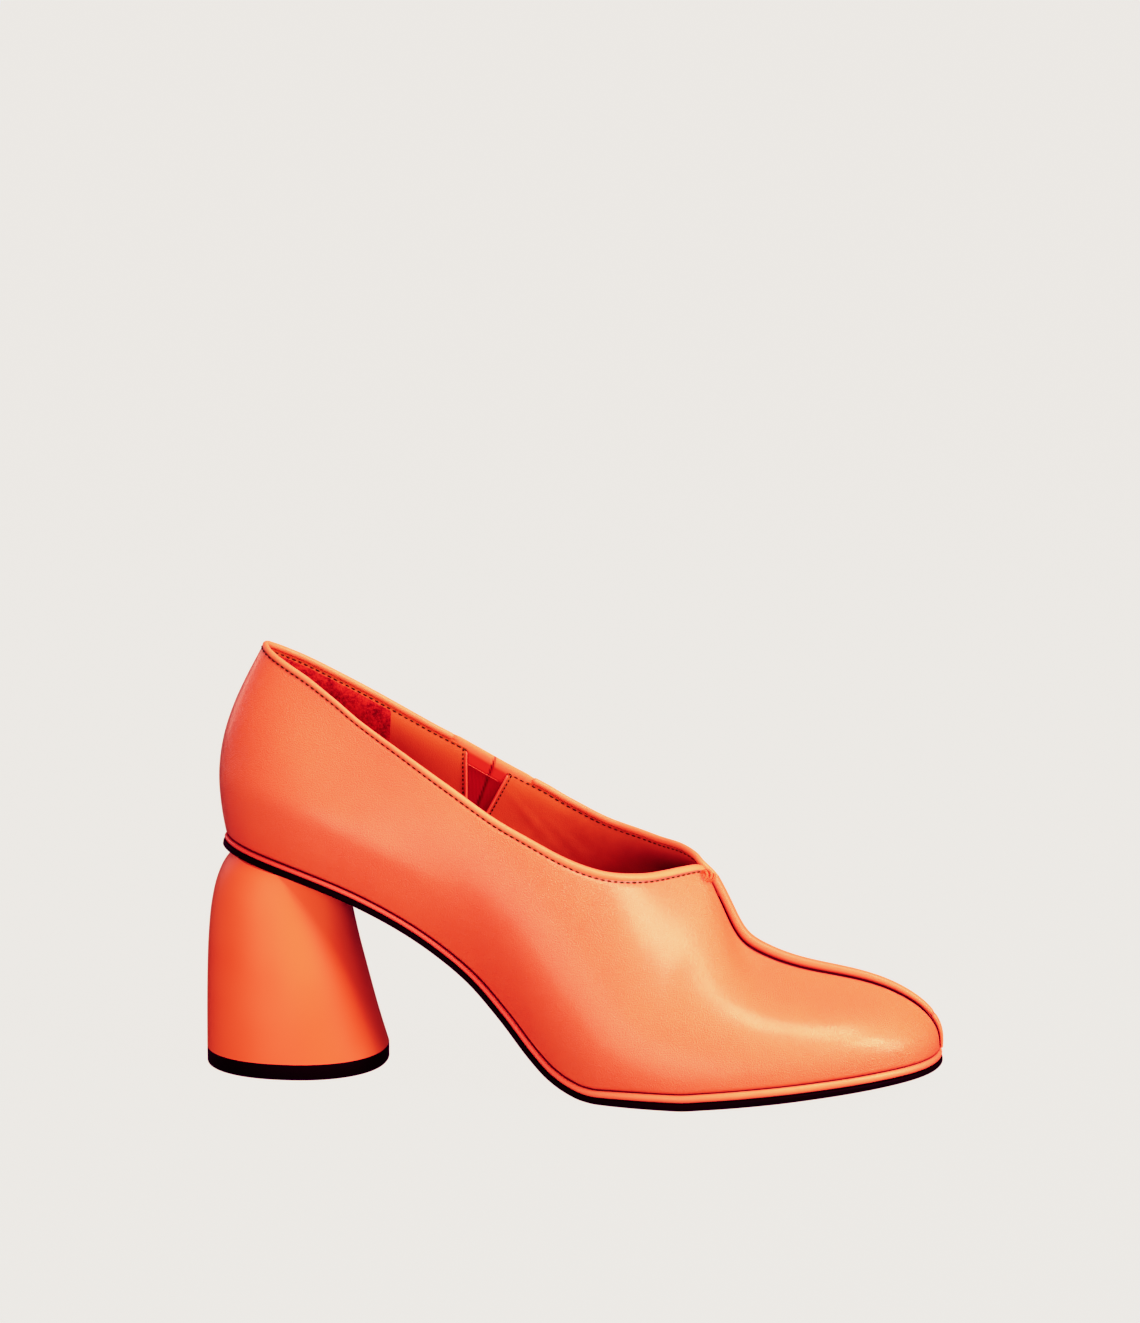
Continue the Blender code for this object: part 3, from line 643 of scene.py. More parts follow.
upperShape = {
    "backRows": 210, "seamRows": 150, "steps": 58, "thick": 1.0, "footTuck": 0.45, "footWidth": 0.55,
    "pipeTuck": 0.55, "pipeWidth": 0.65, "edgeTuck": 0.30, "edgeWidth": 0.9, "toeTaper": 7.0, "crowd": 0.62,
    "footLine": 0.42, "pipeLine": 0.6, "edgeLine": 0.4, "edgeMark": 0.7, "throatWider": 2.0,
    "throatReach": 0.08,
}
pipingShape = {"rise": 0.4, "seat": 0.2, "keel": 0.3, "start": 0.6565, "end": 0.9975, "rows": 170,
               "sides": 18, "splice": 0.957, "spliceDip": 0.16, "spliceWidth": 0.0022, "markWidth": 0.0016,
               "rim": 0.20}
# Piping thickness: share along the sole, radius in mm
pipingRadii = [(0.655, 1.95), (0.80, 1.8), (0.90, 1.45), (0.96, 1.1), (0.985, 0.85), (1, 0.6)]
# Binding: share along the sole, half height, and how far above the wall's top its lower edge lies (mm)
bindingRows = {
    "lateral": [(0, 1.05, 2.1), (0.10, 1.05, 2.1), (0.155, 0.92, 1.3), (0.20, 0.88, 0.1), (0.255, 0.95, -0.4),
                (0.311, 1.1, -0.9), (0.366, 1.15, -0.7), (0.422, 1.25, -0.1), (0.466, 1.42, -0.4),
                (0.511, 1.55, -0.4), (0.566, 1.62, 0.7), (0.611, 1.62, 1.3), (throatShare, 1.55, 0.9)],
    "medial": [(0, 1.05, 2.1), (0.08, 1.05, 1.7), (0.15, 1.05, 1.15), (0.26, 1.05, 1.05), (0.30, 1.05, 1.45),
               (0.40, 1.05, 2.1), (0.44, 1.05, 1.2), (0.50, 1.05, 1.1), (0.60, 1.05, 1.1),
               (throatShare, 1.2, 0.9)],
}
# Heel cup: the soft edge of the stiffener inside the quarter (mm)
cupShape = {"height": 21.0, "width": 6.0, "rise": 0.6, "start": 0.06, "stop": 0.37, "fade": 0.16}
# Creases: side, share along the sole, rise up the wall, turn in degrees, half length, half width, depth (mm)
creases = [
    ("lateral", 0.600, 0.52, 62, 13.0, 3.2, 0.26),
    ("lateral", 0.640, 0.40, 55, 10.0, 2.6, -0.15),
    ("lateral", 0.055, 0.58, 78, 14.0, 4.0, 0.20),
    ("medial", 0.605, 0.50, 60, 12.0, 3.0, 0.26),
    ("medial", 0.645, 0.42, 54, 9.0, 2.6, -0.15),
    ("medial", 0.060, 0.55, 80, 13.0, 4.0, 0.20),
    ("medial", 0.440, 0.30, 30, 12.0, 4.0, 0.20),
]


def bindingAt(side, share, k):
    return tableAt(bindingRows[side], np.minimum(share, throatShare), k)


def bothSides(valuesOn):  # one array, from the lateral toe round the heel to the medial toe
    return np.concatenate([valuesOn("lateral")[::-1], valuesOn("medial")[1:]])


def wallStrip(shares, rises):
    points = bothSides(lambda side: upperWall(side, shares, rises))
    normals = unit(np.cross(np.gradient(points, axis=1), np.gradient(points, axis=0)))
    normals[0], normals[-1] = normals[1], normals[-2]
    return points, normals


def creaseDepth(points, shares, rises):
    depth = np.zeros(points.shape[:2])
    half = len(shares)
    for side, share, rise, turn, length, width, deep in creases:
        rows = slice(0, half) if side == "lateral" else slice(half - 1, None)
        part = points[rows]
        order = shares[::-1] if side == "lateral" else shares
        k, j = int(np.abs(order - share).argmin()), int(np.abs(rises - rise).argmin())
        centre = part[k, j]
        up = unit(part[k, j + 1] - part[k, j - 1])
        along = unit(part[k + 1, j] - part[k - 1, j]) * (-1 if side == "lateral" else 1)
        angle = math.radians(turn)
        lengthwise = along * math.cos(angle) + up * math.sin(angle)
        crosswise = along * math.sin(angle) - up * math.cos(angle)
        off = part - centre
        far = np.clip(1 - np.linalg.norm(off, axis=-1) / (2.2 * length), 0, 1)
        bend = (off @ lengthwise) / length
        over = (off @ crosswise) / width - 0.35 * bend ** 2
        depth[rows] -= deep * bell(bend) * bell(over) * smooth(3 * far)
    return depth


def wallDistances(points):
    step = np.linalg.norm(np.diff(points, axis=1), axis=2)
    fromFoot = beside(np.zeros((len(points), 1)), np.cumsum(step, axis=1))
    return fromFoot, fromFoot[:, -1:] - fromFoot


def upperSkin():
    shape = upperShape
    shares = np.concatenate([np.linspace(0, throatShare, shape["backRows"]),
                             np.linspace(throatShare, 1, shape["seamRows"])[1:]])
    rises = crowded(shape["steps"] + 1, shape["crowd"])
    points, normals = wallStrip(shares, rises)
    fromFoot, fromTop = wallDistances(points)
    share = bothSides(lambda side: shares)[:, None]
    onSeam = smooth((share - throatShare + 0.004) / 0.012)
    room = np.clip(fromTop[:, :1] / shape["toeTaper"], 0, 1)
    foot = bell(fromFoot / shape["footWidth"])
    besidePipe = np.maximum(fromTop - tableAt(pipingRadii, share), 0)
    wide = 1 + shape["throatWider"] * bell((share - throatShare) / shape["throatReach"])
    pipe = bell(besidePipe / shape["pipeWidth"] / wide) * onSeam
    seat = bothSides(lambda side: bindingAt(side, shares, 2))[:, None]
    edge = bell((fromTop + seat) / shape["edgeWidth"]) * (1 - onSeam)
    tuck = shape["footTuck"] * foot + shape["pipeTuck"] * pipe + shape["edgeTuck"] * edge
    cup = cupShape["rise"] * bell((fromFoot - cupShape["height"]) / cupShape["width"])
    cup = cup * smooth((cupShape["stop"] - share) / cupShape["fade"]) * smooth(share / cupShape["start"])
    relief = creaseDepth(points, shares, rises) + cup - tuck
    outer = points + normals * (relief * room)[..., None]
    # Painted shade: the groove mask darkens the leather along its foot by the rand, beside the piping and
    # under the binding
    footLine = bell(fromFoot / shape["footLine"])
    pipeLine = bell(besidePipe / shape["pipeLine"] / wide) * onSeam
    edgeLine = bell((fromTop + seat) / shape["edgeLine"]) * (1 - onSeam)
    grooveShade = np.clip(0.85 * footLine + pipeLine + shape["edgeMark"] * edgeLine, 0, 1)
    falling = bothSides(lambda side: wallFrame(side, shares)[4])
    return {"shares": shares, "share": share, "points": points, "normals": normals, "outer": outer,
            "grooveShade": grooveShade, "onSeam": onSeam, "room": room, "fromTop": fromTop, "falling": falling,
            "seat": seat[:, 0]}


skin = upperSkin()


# Gore: where the V of the medial wall lies, and the low tab between the binding's ends

goreShape = {"place": 0.335, "width": 15.0, "depth": 27.0, "lean": 15, "thick": 0.9, "tabBack": 14.4,
             "tabFront": 18.4, "tabHeight": 3.1, "rows": 80, "steps": 70, "slitLean": 22, "slitPlace": 1.7,
             "slitWidth": 0.32, "slitDepth": 0.6, "hem": 3.8, "hemThick": 0.45, "lip": 3.0, "lipEase": 1.2,
             "span": 0.08, "lowest": 0.4, "dip": 0.5, "dipFrom": 0.93, "endEase": 4, "sunk": 0.2, "fold": 0.2}
goreRun = float(topRun("medial", goreShape["place"]))


def leaning(degrees):  # the way down and the way across, for something that leans in the plane of the side
    angle = math.radians(degrees)
    return np.array([-math.sin(angle), 0, -math.cos(angle)]), np.array([math.cos(angle), 0, -math.sin(angle)])


def goreFrame():
    shape = goreShape
    top = wallFrame("medial", [shape["place"] - 0.01, shape["place"], shape["place"] + 0.01])[3]
    along = unit((top[2] - top[0]) * np.array([1, 0, 1]))
    return top[1], along, np.array([-along[2], 0, along[0]]), leaning(shape["lean"])[0]


def sideCutter(name, outline):  # a prism through the medial wall
    push = np.array([0, 14.0, 0])
    return meshPiece(name, [[p - push for p in outline], [p + push for p in outline]])


def notchCutter(clearance):
    base, along, above, down = goreFrame()
    neck = along * (goreShape["width"] / 2 - clearance)
    tip = down * (goreShape["depth"] - 3 * clearance)
    high = above * 9
    return sideCutter("notch_cutter", [base + high - neck, base + high + neck, base + neck,
                                       base + tip + along, base + tip - along, base - neck])


def tabCutter():
    base, along, above, down = goreFrame()
    neck, tip = along * (goreShape["width"] / 2 - 0.05), down * (goreShape["depth"] - 0.2)
    low, high = above * 0.2, above * 14
    back, front = along * goreShape["tabBack"], along * goreShape["tabFront"]
    return sideCutter("tab_cutter", [
        base + low - neck, base + low - back, base + high - back, base + high + front, base + low + front,
        base + low + neck, base + neck, base + tip + along, base + tip - along, base - neck])


def cutWith(piece, cutter, operation):
    modifier = piece.modifiers.new("cut", "BOOLEAN")
    modifier.operation = operation
    modifier.solver = "EXACT"
    modifier.object = cutter
    settle(piece)
    bpy.data.objects.remove(cutter, do_unlink=True)


# Where points seen from the side lie on the medial wall, a depth inside it
def onMedialWall(flat, inset, swelling):
    medial = slice(len(skin["shares"]) - 1, None)
    inset = inset + swelling * liningSwell(skin["fromTop"])[medial]
    wall = skin["points"][medial] - skin["normals"][medial] * inset[..., None]
    near = np.abs(skin["share"][medial, 0] - goreShape["place"]) < 0.16
    cloud = wall[near].reshape(-1, 3)
    found = []
    for x, z in np.asarray(flat, float)[:, [0, 2]]:
        off = cloud[:, [0, 2]] - (x, z)
        closest = np.argsort((off ** 2).sum(1))[:16]
        plane = np.column_stack([np.ones(16), off[closest]])
        level, *_ = np.linalg.lstsq(plane, cloud[closest, 1], rcond=None)
        found.append((x, level[0], z))
    return np.array(found)


def buildUpper():
    shape = upperShape
    outer, normals, grooveShade, onSeam = skin["outer"], skin["normals"], skin["grooveShade"], skin["onSeam"]
    over = np.maximum(skin["seat"], 0.1)[:, None]
    tall = bothSides(lambda side: bindingAt(side, skin["shares"], 1))[:, None]
    neck, mark = [], []
    for height, tuck in ((over * 0.5, 0.2), (over, 0.4), (over + tall, 0.6)):  # on up into the binding
        inward = normals[:, -1] * tuck * onSeam * skin["room"]
        neck.append(outer[:, -1] - skin["falling"] * height * (1 - onSeam) - inward)
        # Painted shade under the binding, carried on up the neck rows
        line = shape["edgeMark"] * bell((skin["seat"][:, None] - height) / shape["edgeLine"])
        mark.append(line * (1 - onSeam) + grooveShade[:, -1:] * onSeam)
    thick = (shape["thick"] * skin["room"])[:, :, None]
    inner = outer - normals * thick
    lipIn = neck[-1] - normals[:, -1] * thick[:, 0]
    rows = beside(outer, np.stack(neck, 1), lipIn[:, None], inner[:, ::-2])
    grooveShade = beside(grooveShade, *mark, 0 * mark[0], 0 * grooveShade[:, ::-2])
    upper = meshPiece("upper_leather", rows, "open", {"grooveShade": grooveShade})
    cutWith(upper, notchCutter(0), "DIFFERENCE")
    dress(upper, upperFinish, "upper_leather", "upper")


# Lining: smooth leather inside the whole shoe, with a suede grip round the heel

# The dark keys set where the lining's painted shade begins, how fast it comes on and how strong it is
liningShape = {"behind": 0.05, "thick": 0.6, "gripShare": 0.214, "gripThick": 0.35, "gripDrop": 1.2,
               "sewn": 0.7, "swell": 1.5, "swellRun": 2.4, "steps": 46, "crowd": 0.8, "darkFrom": 0.46,
               "darkRun": 0.13, "dark": 0.97}
liningBack = upperShape["thick"] + liningShape["behind"]
liningFace = liningBack + liningShape["thick"]
# Faint folds of the medial lining: share along the sole, run below the top, turn in degrees,
# then half length, half width and rise (mm)
liningFolds = [
    (0.392, 12.0, 34, 9.0, 1.5, 0.28), (0.415, 14.0, 30, 9.0, 1.3, 0.24), (0.440, 13.0, 26, 10.0, 1.6, 0.30),
    (0.425, 19.0, 28, 9.0, 1.4, 0.24), (0.470, 17.0, 22, 9.0, 1.6, 0.22), (0.200, 15.0, 60, 9.0, 2.2, 0.25),
]


def downSection(values, drop):  # a value in each wall section, a run below its top
    found = []
    for row, run, at in zip(values, skin["fromTop"], np.maximum(drop, 0)):
        found.append([np.interp(at, run[::-1], row[::-1, k]) for k in range(3)])
    return np.array(found)


def onWall(values, drop):  # a point in each wall section, a run below its top or above it
    return downSection(values, drop) + skin["falling"] * np.minimum(drop, 0)[:, None]


def liningEdge():  # the run from the wall's top down to the lining's edge, which lies under the binding
    onSeam = skin["onSeam"][:, 0]
    return np.minimum(0.15 * onSeam - skin["seat"] * (1 - onSeam), 0.3 * skin["fromTop"][:, 0])


def liningSwell(drop):  # how far the lining swells into the shoe below its stitches
    below = drop - liningEdge()[:, None]
    rise = 1 - np.exp(-np.maximum(below - liningShape["sewn"], 0) / liningShape["swellRun"])
    return liningShape["swell"] * rise * (1 - 0.7 * smooth((below - 6) / 24)) * (1 - skin["onSeam"])


def heelRuns():  # each section's run along the top line from the back of the heel, lateral ones negative
    return bothSides(lambda side: sides[side] * topRun(side, skin["shares"]))


def liningCreases(drop):
    along = heelRuns()[:, None]
    depth = np.zeros_like(drop)
    for share, below, turn, length, width, deep in liningFolds:
        angle = math.radians(turn)
        off, down = along - float(topRun("medial", share)), drop - below
        lengthwise = off * math.cos(angle) + down * math.sin(angle)
        crosswise = down * math.cos(angle) - off * math.sin(angle)
        depth += deep * np.exp(-(lengthwise / length) ** 2 - (crosswise / width) ** 2)
    return depth


def liningWall(drop, inset, rises):
    whole = skin["fromTop"][:, 0]
    runs = drop[:, None] + (whole - drop)[:, None] * rises[None, :]
    face = np.stack([onWall(skin["points"], run) for run in runs.T], 1)
    turn = np.stack([downSection(skin["normals"], run) for run in runs.T], 1)
    full = inset + liningSwell(runs) + liningCreases(runs)
    return face - unit(turn) * (full * skin["room"])[..., None]


def buildLining():
    shape = liningShape
    drop = liningEdge()
    rises = crowded(shape["steps"], shape["crowd"])
    behind = liningWall(drop, liningBack, rises)
    front = liningWall(drop, liningFace, rises)
    depth = rises[None, :] * skin["fromTop"][:, :1]
    # Painted shade: the lining darkens deeper into the shoe and towards the throat, by the shade tag
    ahead = smooth((skin["share"] - shape["darkFrom"]) / shape["darkRun"])
    deep = shape["dark"] * smooth((depth + 3) / 13) * ahead
    rows = beside(behind, front[:, ::-1])
    shade = beside(deep, deep[:, ::-1])
    lining = meshPiece("lining", rows, "open", {"shade": shade, "grooveShade": 0 * shade})
    cutWith(lining, notchCutter(-0.4), "DIFFERENCE")
    dress(lining, liningFinish, "lining_leather", "upper")

    inGrip = skin["share"][:, 0] < shape["gripShare"]
    under = drop + shape["gripDrop"]
    laid = liningWall(under, liningFace - 0.1, rises)[inGrip]
    nap = liningWall(under, liningFace + shape["gripThick"], rises)[inGrip]
    makePiece("heel_grip", beside(laid, nap[:, ::-1]), suede, "lining_leather")


def buildGore():
    shape = goreShape
    shares = np.linspace(shape["place"] - shape["span"], shape["place"] + shape["span"], shape["rows"])
    foot, _, _, top, falling = wallFrame("medial", shares)
    tabRise = 1 + shape["tabHeight"] / np.linalg.norm(top - foot, axis=1).mean()
    rises = np.linspace(shape["lowest"], tabRise, shape["steps"])
    wall = upperWall("medial", shares, rises)
    run = topRun("medial", shares) - topRun("medial", shape["place"])
    fromEnd = np.minimum(run + shape["tabBack"], shape["tabFront"] - run)
    full = smooth(fromEnd / shape["endEase"])[:, None]
    upTab = smooth((rises - shape["dipFrom"]) / (tabRise - shape["dipFrom"]))
    dip = shape["dip"] * (1 - full) * upTab
    wall = wall + falling[:, None] * dip[..., None]
    inward = -topNormal(shares, top, falling)
    outside = wall + inward[:, None] * shape["sunk"]
    base, _, above, _ = goreFrame()
    across = (outside - base) @ leaning(shape["slitLean"])[1]
    over = (outside - base) @ above
    slit = bell((across - shape["slitPlace"]) / shape["slitWidth"])
    fold = smooth((across - shape["slitPlace"] + 0.3) / 0.6) * shape["fold"]
    hem = smooth((over + shape["hem"]) / 0.5)
    lip = np.clip(wallDistances(wall)[1] / shape["lip"], 0, 1)
    thick = shape["thick"] + fold + shape["hemThick"] * hem - shape["slitDepth"] * slit
    thick = thick * (0.5 + 0.5 * full)
    inside = outside + inward[:, None] * (thick * np.sqrt(1 - 0.98 * (1 - lip) ** 2))[..., None]
    rows = beside(outside, inside[:, ::-1])
    tags = {"grooveShade": beside(0 * slit, slit[:, ::-1]),
            "hem": beside(smooth((over - 0.2) / 0.3), hem[:, ::-1]),
            "rib": beside(1 + 0 * slit, 0.25 + 0 * slit),
            "lip": beside(0.6 * smooth(over / shape["lipEase"]), smooth(over[:, ::-1] / shape["lipEase"]))}
    gore = meshPiece("gore_panel", rows, tags=tags)
    cutWith(gore, tabCutter(), "INTERSECT")
    dress(gore, goreFinish, "gore_elastic", "gore")


# Binding: the rolled edge of the collar, in two runs that stop either side of the gore

# The front run flows on into the seam by these runs, sunk below it by these depths (mm)
bindingShape = {"plump": 0.95, "proud": 0.3, "lateralStop": 0.5, "medialStop": 2.6, "heelGap": 0.3,
                "tabLap": 1.4, "turns": 20, "endEase": 1.2, "flow": (1.6, 3.2, 7.0, 9.0),
                "sink": (1.0, 0.7, 0.1, 0), "flowTall": 1.3}


# The roll's middle line, with the way out of the wall, the way up it and its half height
def rollLine(side, runs):
    shape = bindingShape
    shares = shareAtRun(side, np.asarray(runs, float))
    _, _, _, top, falling = wallFrame(side, shares)
    outward = topNormal(shares, top, falling)
    tall, seat = (bindingAt(side, shares, k)[:, None] for k in (1, 2))
    middle = top - falling * (tall + seat) - outward * (tall * shape["plump"] - shape["proud"])
    return beside(middle, outward, -falling, tall)


def seamCrown(share):  # seam points and the direction that stands up from them
    frames = {side: wallFrame(side, share) for side in sides}
    seam = frames["lateral"][3]
    along = unit(np.gradient(seam, axis=0))
    normals = {}
    for side in sides:
        falling = frames[side][4]
        across = unit(falling - (falling * along).sum(1, keepdims=True) * along)
        normals[side] = unit(np.cross(along, across)) * sides[side]
    crown = unit(normals["lateral"] + normals["medial"])
    tilt = np.arccos(np.clip((crown * normals["lateral"]).sum(1), -1, 1))
    return seam, along, crown, tilt


def rollPiece(name, line, *nodes):
    shape = bindingShape
    tall = line[:, 9] * roundedEnds(line, shape["endEase"])
    rings = sweep(line, shape["plump"] * tall, tall, shape["turns"])
    makePiece(name, rings, edgeFinish, "edge_leather", *nodes, tags={"grooveShade": np.zeros(rings.shape[:2])})


def buildBindings():
    shape = bindingShape
    rearEnd = goreRun - goreShape["tabBack"] + shape["tabLap"]
    frontStart = goreRun + goreShape["tabFront"] - shape["tabLap"]
    throat, heel = collarLengths["lateral"] - shape["lateralStop"], shape["heelGap"]
    lateral = rollLine("lateral", np.linspace(throat, heel, 260))
    medial = rollLine("medial", np.linspace(heel, rearEnd, 110))
    rollPiece("collar_roll", evenly(np.concatenate([lateral, medial]), 440), "collar_binding")

    wall = rollLine("medial", np.linspace(frontStart, collarLengths["medial"] - shape["medialStop"], 100))
    flow = collarLengths["medial"] + np.array(shape["flow"])
    seam, along, crown, _ = seamCrown(shareAtRun("medial", flow))
    sink, tall = np.array(shape["sink"])[:, None], np.full((len(flow), 1), shape["flowTall"])
    joint = beside(seam + crown * sink, np.cross(crown, along), crown, tall)[:3]
    joined = np.concatenate([wall[::4], joint])
    path = curveThrough(joined[:, :3], 900)
    known = runAlong(joined[:, :3]) / runAlong(joined[:, :3])[-1]
    at = runAlong(path) / runAlong(path)[-1]
    frames = np.stack([np.interp(at, known, joined[:, k]) for k in range(3, 10)], -1)
    rollPiece("collar_roll_front", evenly(beside(path, frames), 190), "collar_binding_front")


# Piping: a bead saddled on the centre seam, thinner towards the toe, with its splice near the toe

def buildPiping():
    shape = pipingShape
    share = np.linspace(shape["start"], shape["end"], shape["rows"])
    seam, along, crown, tilt = seamCrown(share)
    sideways = np.cross(crown, along)
    dip = shape["spliceDip"] * bell((share - shape["splice"]) / shape["spliceWidth"])
    radius = tableAt(pipingRadii, share) * (1 - dip)
    rise = shape["rise"] * np.clip(radius / 1.2, 0.2, 1)
    reach = tilt + np.arccos(np.clip((shape["seat"] - np.cos(tilt) * rise) / radius, -1, 1))
    turns = np.linspace(-1, 1, shape["sides"])[None, :] * reach[:, None]
    arc = crown[:, None] * np.cos(turns)[..., None] + sideways[:, None] * np.sin(turns)[..., None]
    rim = (seam + crown * rise[:, None])[:, None] + arc * radius[:, None, None]
    keel = seam - crown * shape["keel"]
    rows = beside(rim, keel[:, None])
    # Painted shade: dark at the splice, along the piping's lower flanks and on the keel beneath it
    mark = 0.5 * bell((share - shape["splice"]) / shape["markWidth"])
    pipeFlankShade = bell((1 - np.abs(np.linspace(-1, 1, shape["sides"]))) / shape["rim"])
    grooveShade = np.clip(mark[:, None] + 0.9 * pipeFlankShade[None, :], 0, 1)
    grooveShade = beside(grooveShade, np.ones((len(share), 1)))
    makePiece("vamp_cord", rows, pipingFinish, "edge_leather", "vamp_piping", tags={"grooveShade": grooveShade})


# Bar tack: thread wrapped round the joint of binding and piping

tackShape = {"behind": 3.6, "below": 1.0, "proud": 0.7, "length": 4.4, "coil": 1.6, "thread": 0.5,
             "wraps": 2.3, "rows": 160}


def buildTack():
    shape = tackShape
    runs = collarLengths["lateral"] - shape["behind"] + np.array([-1.5, 0, 1.5])
    shares = shareAtRun("lateral", runs)
    _, _, _, top, falling = wallFrame("lateral", shares)
    outward, falling = topNormal(shares, top, falling)[1], falling[1]
    along = unit(top[2] - top[0])
    middle = top[1] + falling * shape["below"] + outward * shape["proud"]
    at = np.linspace(0, 1, shape["rows"])
    axis = middle + along * (shape["length"] * (at - 0.5))[:, None]
    turn = 2 * np.pi * shape["wraps"] * at
    size = shape["coil"] * (0.8 + 0.2 * np.sin(np.pi * at))
    path = axis + size[:, None] * (falling * np.cos(turn)[:, None] + outward * np.sin(turn)[:, None])
    frames = beside(path, path - axis, np.broadcast_to(along, path.shape))
    size = shape["thread"] * roundedEnds(frames, 0.5)
    makePiece("bar_tack", sweep(frames, size, size, threadSides), tackThread, "edge_leather")


buildUpper()
buildLining()
buildGore()
buildBindings()
buildPiping()
buildTack()
print("upper, lining, gore, binding, piping and tack made")


# Rand, sole, insole, heel and lift

randShape = {"steps": 13, "inset": 0.1, "bulge": 1.04, "squareness": 0.8}
soleShape = {"rows": 170, "spans": 14, "soleEase": 0.45, "insoleEase": 1.1, "insoleCrown": 0.5}
heelRows = [
    (0, 0.8, 60.4, 27.6), (0.2, 1.0, 57.1, 27.4), (0.45, 1.5, 53.3, 27.0), (0.65, 2.5, 50.3, 26.6),
    (0.80, 4.2, 48.4, 26.0), (0.90, 6.4, 47.4, 25.2), (0.96, 8.6, 46.9, 24.4), (1, 11.2, 46.6, 23.4),
]
heelShape = {"squareness": 2.2, "sides": 96, "steps": 56, "rings": (0.8, 0.55, 0.3, 0.05), "liftEase": 0.5}


def edgeShares():
    even = np.linspace(0, 1, soleShape["rows"] + 1)
    return even + 0.35 * (0.5 - 0.5 * np.cos(np.pi * even) - even)


plateShares = np.clip(edgeShares(), 0.0008, 0.9992)


def buildRand():
    shape = randShape
    angle = np.radians(np.linspace(-90, 90, shape["steps"]))
    share = edgeShares()
    half = tableAt(edgeRows, share, 2) / 2
    bead = [shape["inset"] + shape["bulge"] * half * (1 - math.cos(a) ** shape["squareness"]) for a in angle]
    inset = [0 * half + last["randDepth"], *bead, 0 * half + last["randDepth"]]
    height = [randBase(share) + half + half * rise for rise in (-1, *np.sin(angle), 1)]
    parts = {}
    for side in sides:
        rings = [soleEdge(side, share, gap[:, None])[0] for gap in inset]
        parts[side] = np.stack([solePoint(p[:, 0], p[:, 1], h) for p, h in zip(rings, height)], 1)
    rows = np.concatenate([parts["lateral"][:-1], parts["medial"][:0:-1]])
    # Painted shade: the rand is darkened at the seat and waist and a little at the toe, where it faces away
    # from the light
    randShade = 1 - 0.9 * smooth((share - 0.40) / 0.18) + 0.4 * smooth((share - 0.86) / 0.1)
    randShade = np.concatenate([randShade[:-1], randShade[:0:-1]])[:, None]
    # Painted shade in the joints at the bead's top and bottom
    dark = np.concatenate([[1], np.clip(np.abs(np.linspace(-1, 1, shape["steps"])) * 6 - 5.2, 0, 1), [1]])
    tags = {"grooveShade": np.broadcast_to(dark, rows.shape[:2]), "shade": np.broadcast_to(randShade, rows.shape[:2])}
    makePiece("rand_bead", rows, randFinish, "edge_leather", "rand", ends="joined", tags=tags)


def plateRows(inset, base, thick, ease, crown):  # base and thickness come row by row
    share = plateShares
    base, thick = (np.broadcast_to(v, len(share))[:, None] for v in (base, thick))
    across = np.linspace(0, 1, soleShape["spans"] + 1)[None, :, None]

    def layer(gap, height, crown):
        lateral, medial = (soleEdge(side, share, gap)[0][:, None] for side in sides)
        plan = lateral * (1 - across) + medial * across
        return solePoint(plan[..., 0], plan[..., 1], height + crown * np.sin(np.pi * across[..., 0]))

    lower, upper = [], []
    for turn in np.radians([0, 30, 60, 90]):
        gap, rise = inset + ease * (1 - math.sin(turn)), ease * (1 - math.cos(turn))
        lower.append(layer(gap, base + rise, 0))
        upper.append(layer(gap, base + thick - rise, crown))
    right = [rows[:, -1:] for rows in lower[1:] + upper[:0:-1]]
    left = [rows[:, :1] for rows in upper[1:] + lower[:0:-1]]
    return beside(lower[0], *right, upper[0][:, ::-1], *left)


def heelRing(rise, shrink, heightAt):  # a squared oval, whose height may change with the station
    back, front, half = (float(tableAt(heelRows, rise, k)) for k in (1, 2, 3))
    angle = np.linspace(0, 2 * np.pi, heelShape["sides"], endpoint=False)
    power = 2 / heelShape["squareness"]
    lengthwise, sideways = (np.sign(v) * np.abs(v) ** power for v in (np.cos(angle), np.sin(angle)))
    station = (back + front) / 2 + shrink * lengthwise * (front - back) / 2
    return np.stack([station, shrink * sideways * half, 0 * station + heightAt(station)], -1)


def seatHeight(station):  # the heel's seat, just under the sole
    return solePoint(station, 0, -0.05)[:, 2]


def buildSole():
    shape = soleShape
    rows = plateRows(0, 0, tableAt(edgeRows, plateShares, 1), shape["soleEase"], 0)
    makePiece("outsole_edge", rows, soleRubber, "black_rubber", "outsole")
    rows = plateRows(last["randDepth"] + last["gap"], randBase(plateShares), last["insoleThick"],
                     shape["insoleEase"], shape["insoleCrown"])
    makePiece("sock_lining", rows, liningFinish, "lining_leather", "insole")


def buildHeel():
    shape, thick, ease = heelShape, last["liftThick"], heelShape["liftEase"]
    base = thick + last["gap"] / 2
    rows = [heelRing(rise, 1, lambda station: base + rise * (seatHeight(station) - base))
            for rise in np.linspace(0, 1, shape["steps"] + 1)]
    rows += [heelRing(1, shrink, seatHeight) for shrink in shape["rings"]]
    makePiece("heel_block", rows, heelFinish, "heel_cover", "heel")

    profile = [(0.30, 0), (0.65, 0), (0.96, 0), (1 - ease / 45, 0), (1 - ease / 150, ease * 0.35), (1, ease),
               (1, thick * 0.5), (1, thick - 0.35), (0.994, thick), (0.6, thick), (0.3, thick)]
    lift = [heelRing(0, shrink, lambda station: height) for shrink, height in profile]
    makePiece("heel_top_piece", lift, liftRubber, "black_rubber", "heel_lift")


buildRand()
buildSole()
buildHeel()
print("rand, sole, insole, heel and lift made")


# Stitching, laid along its lines by Geometry Nodes

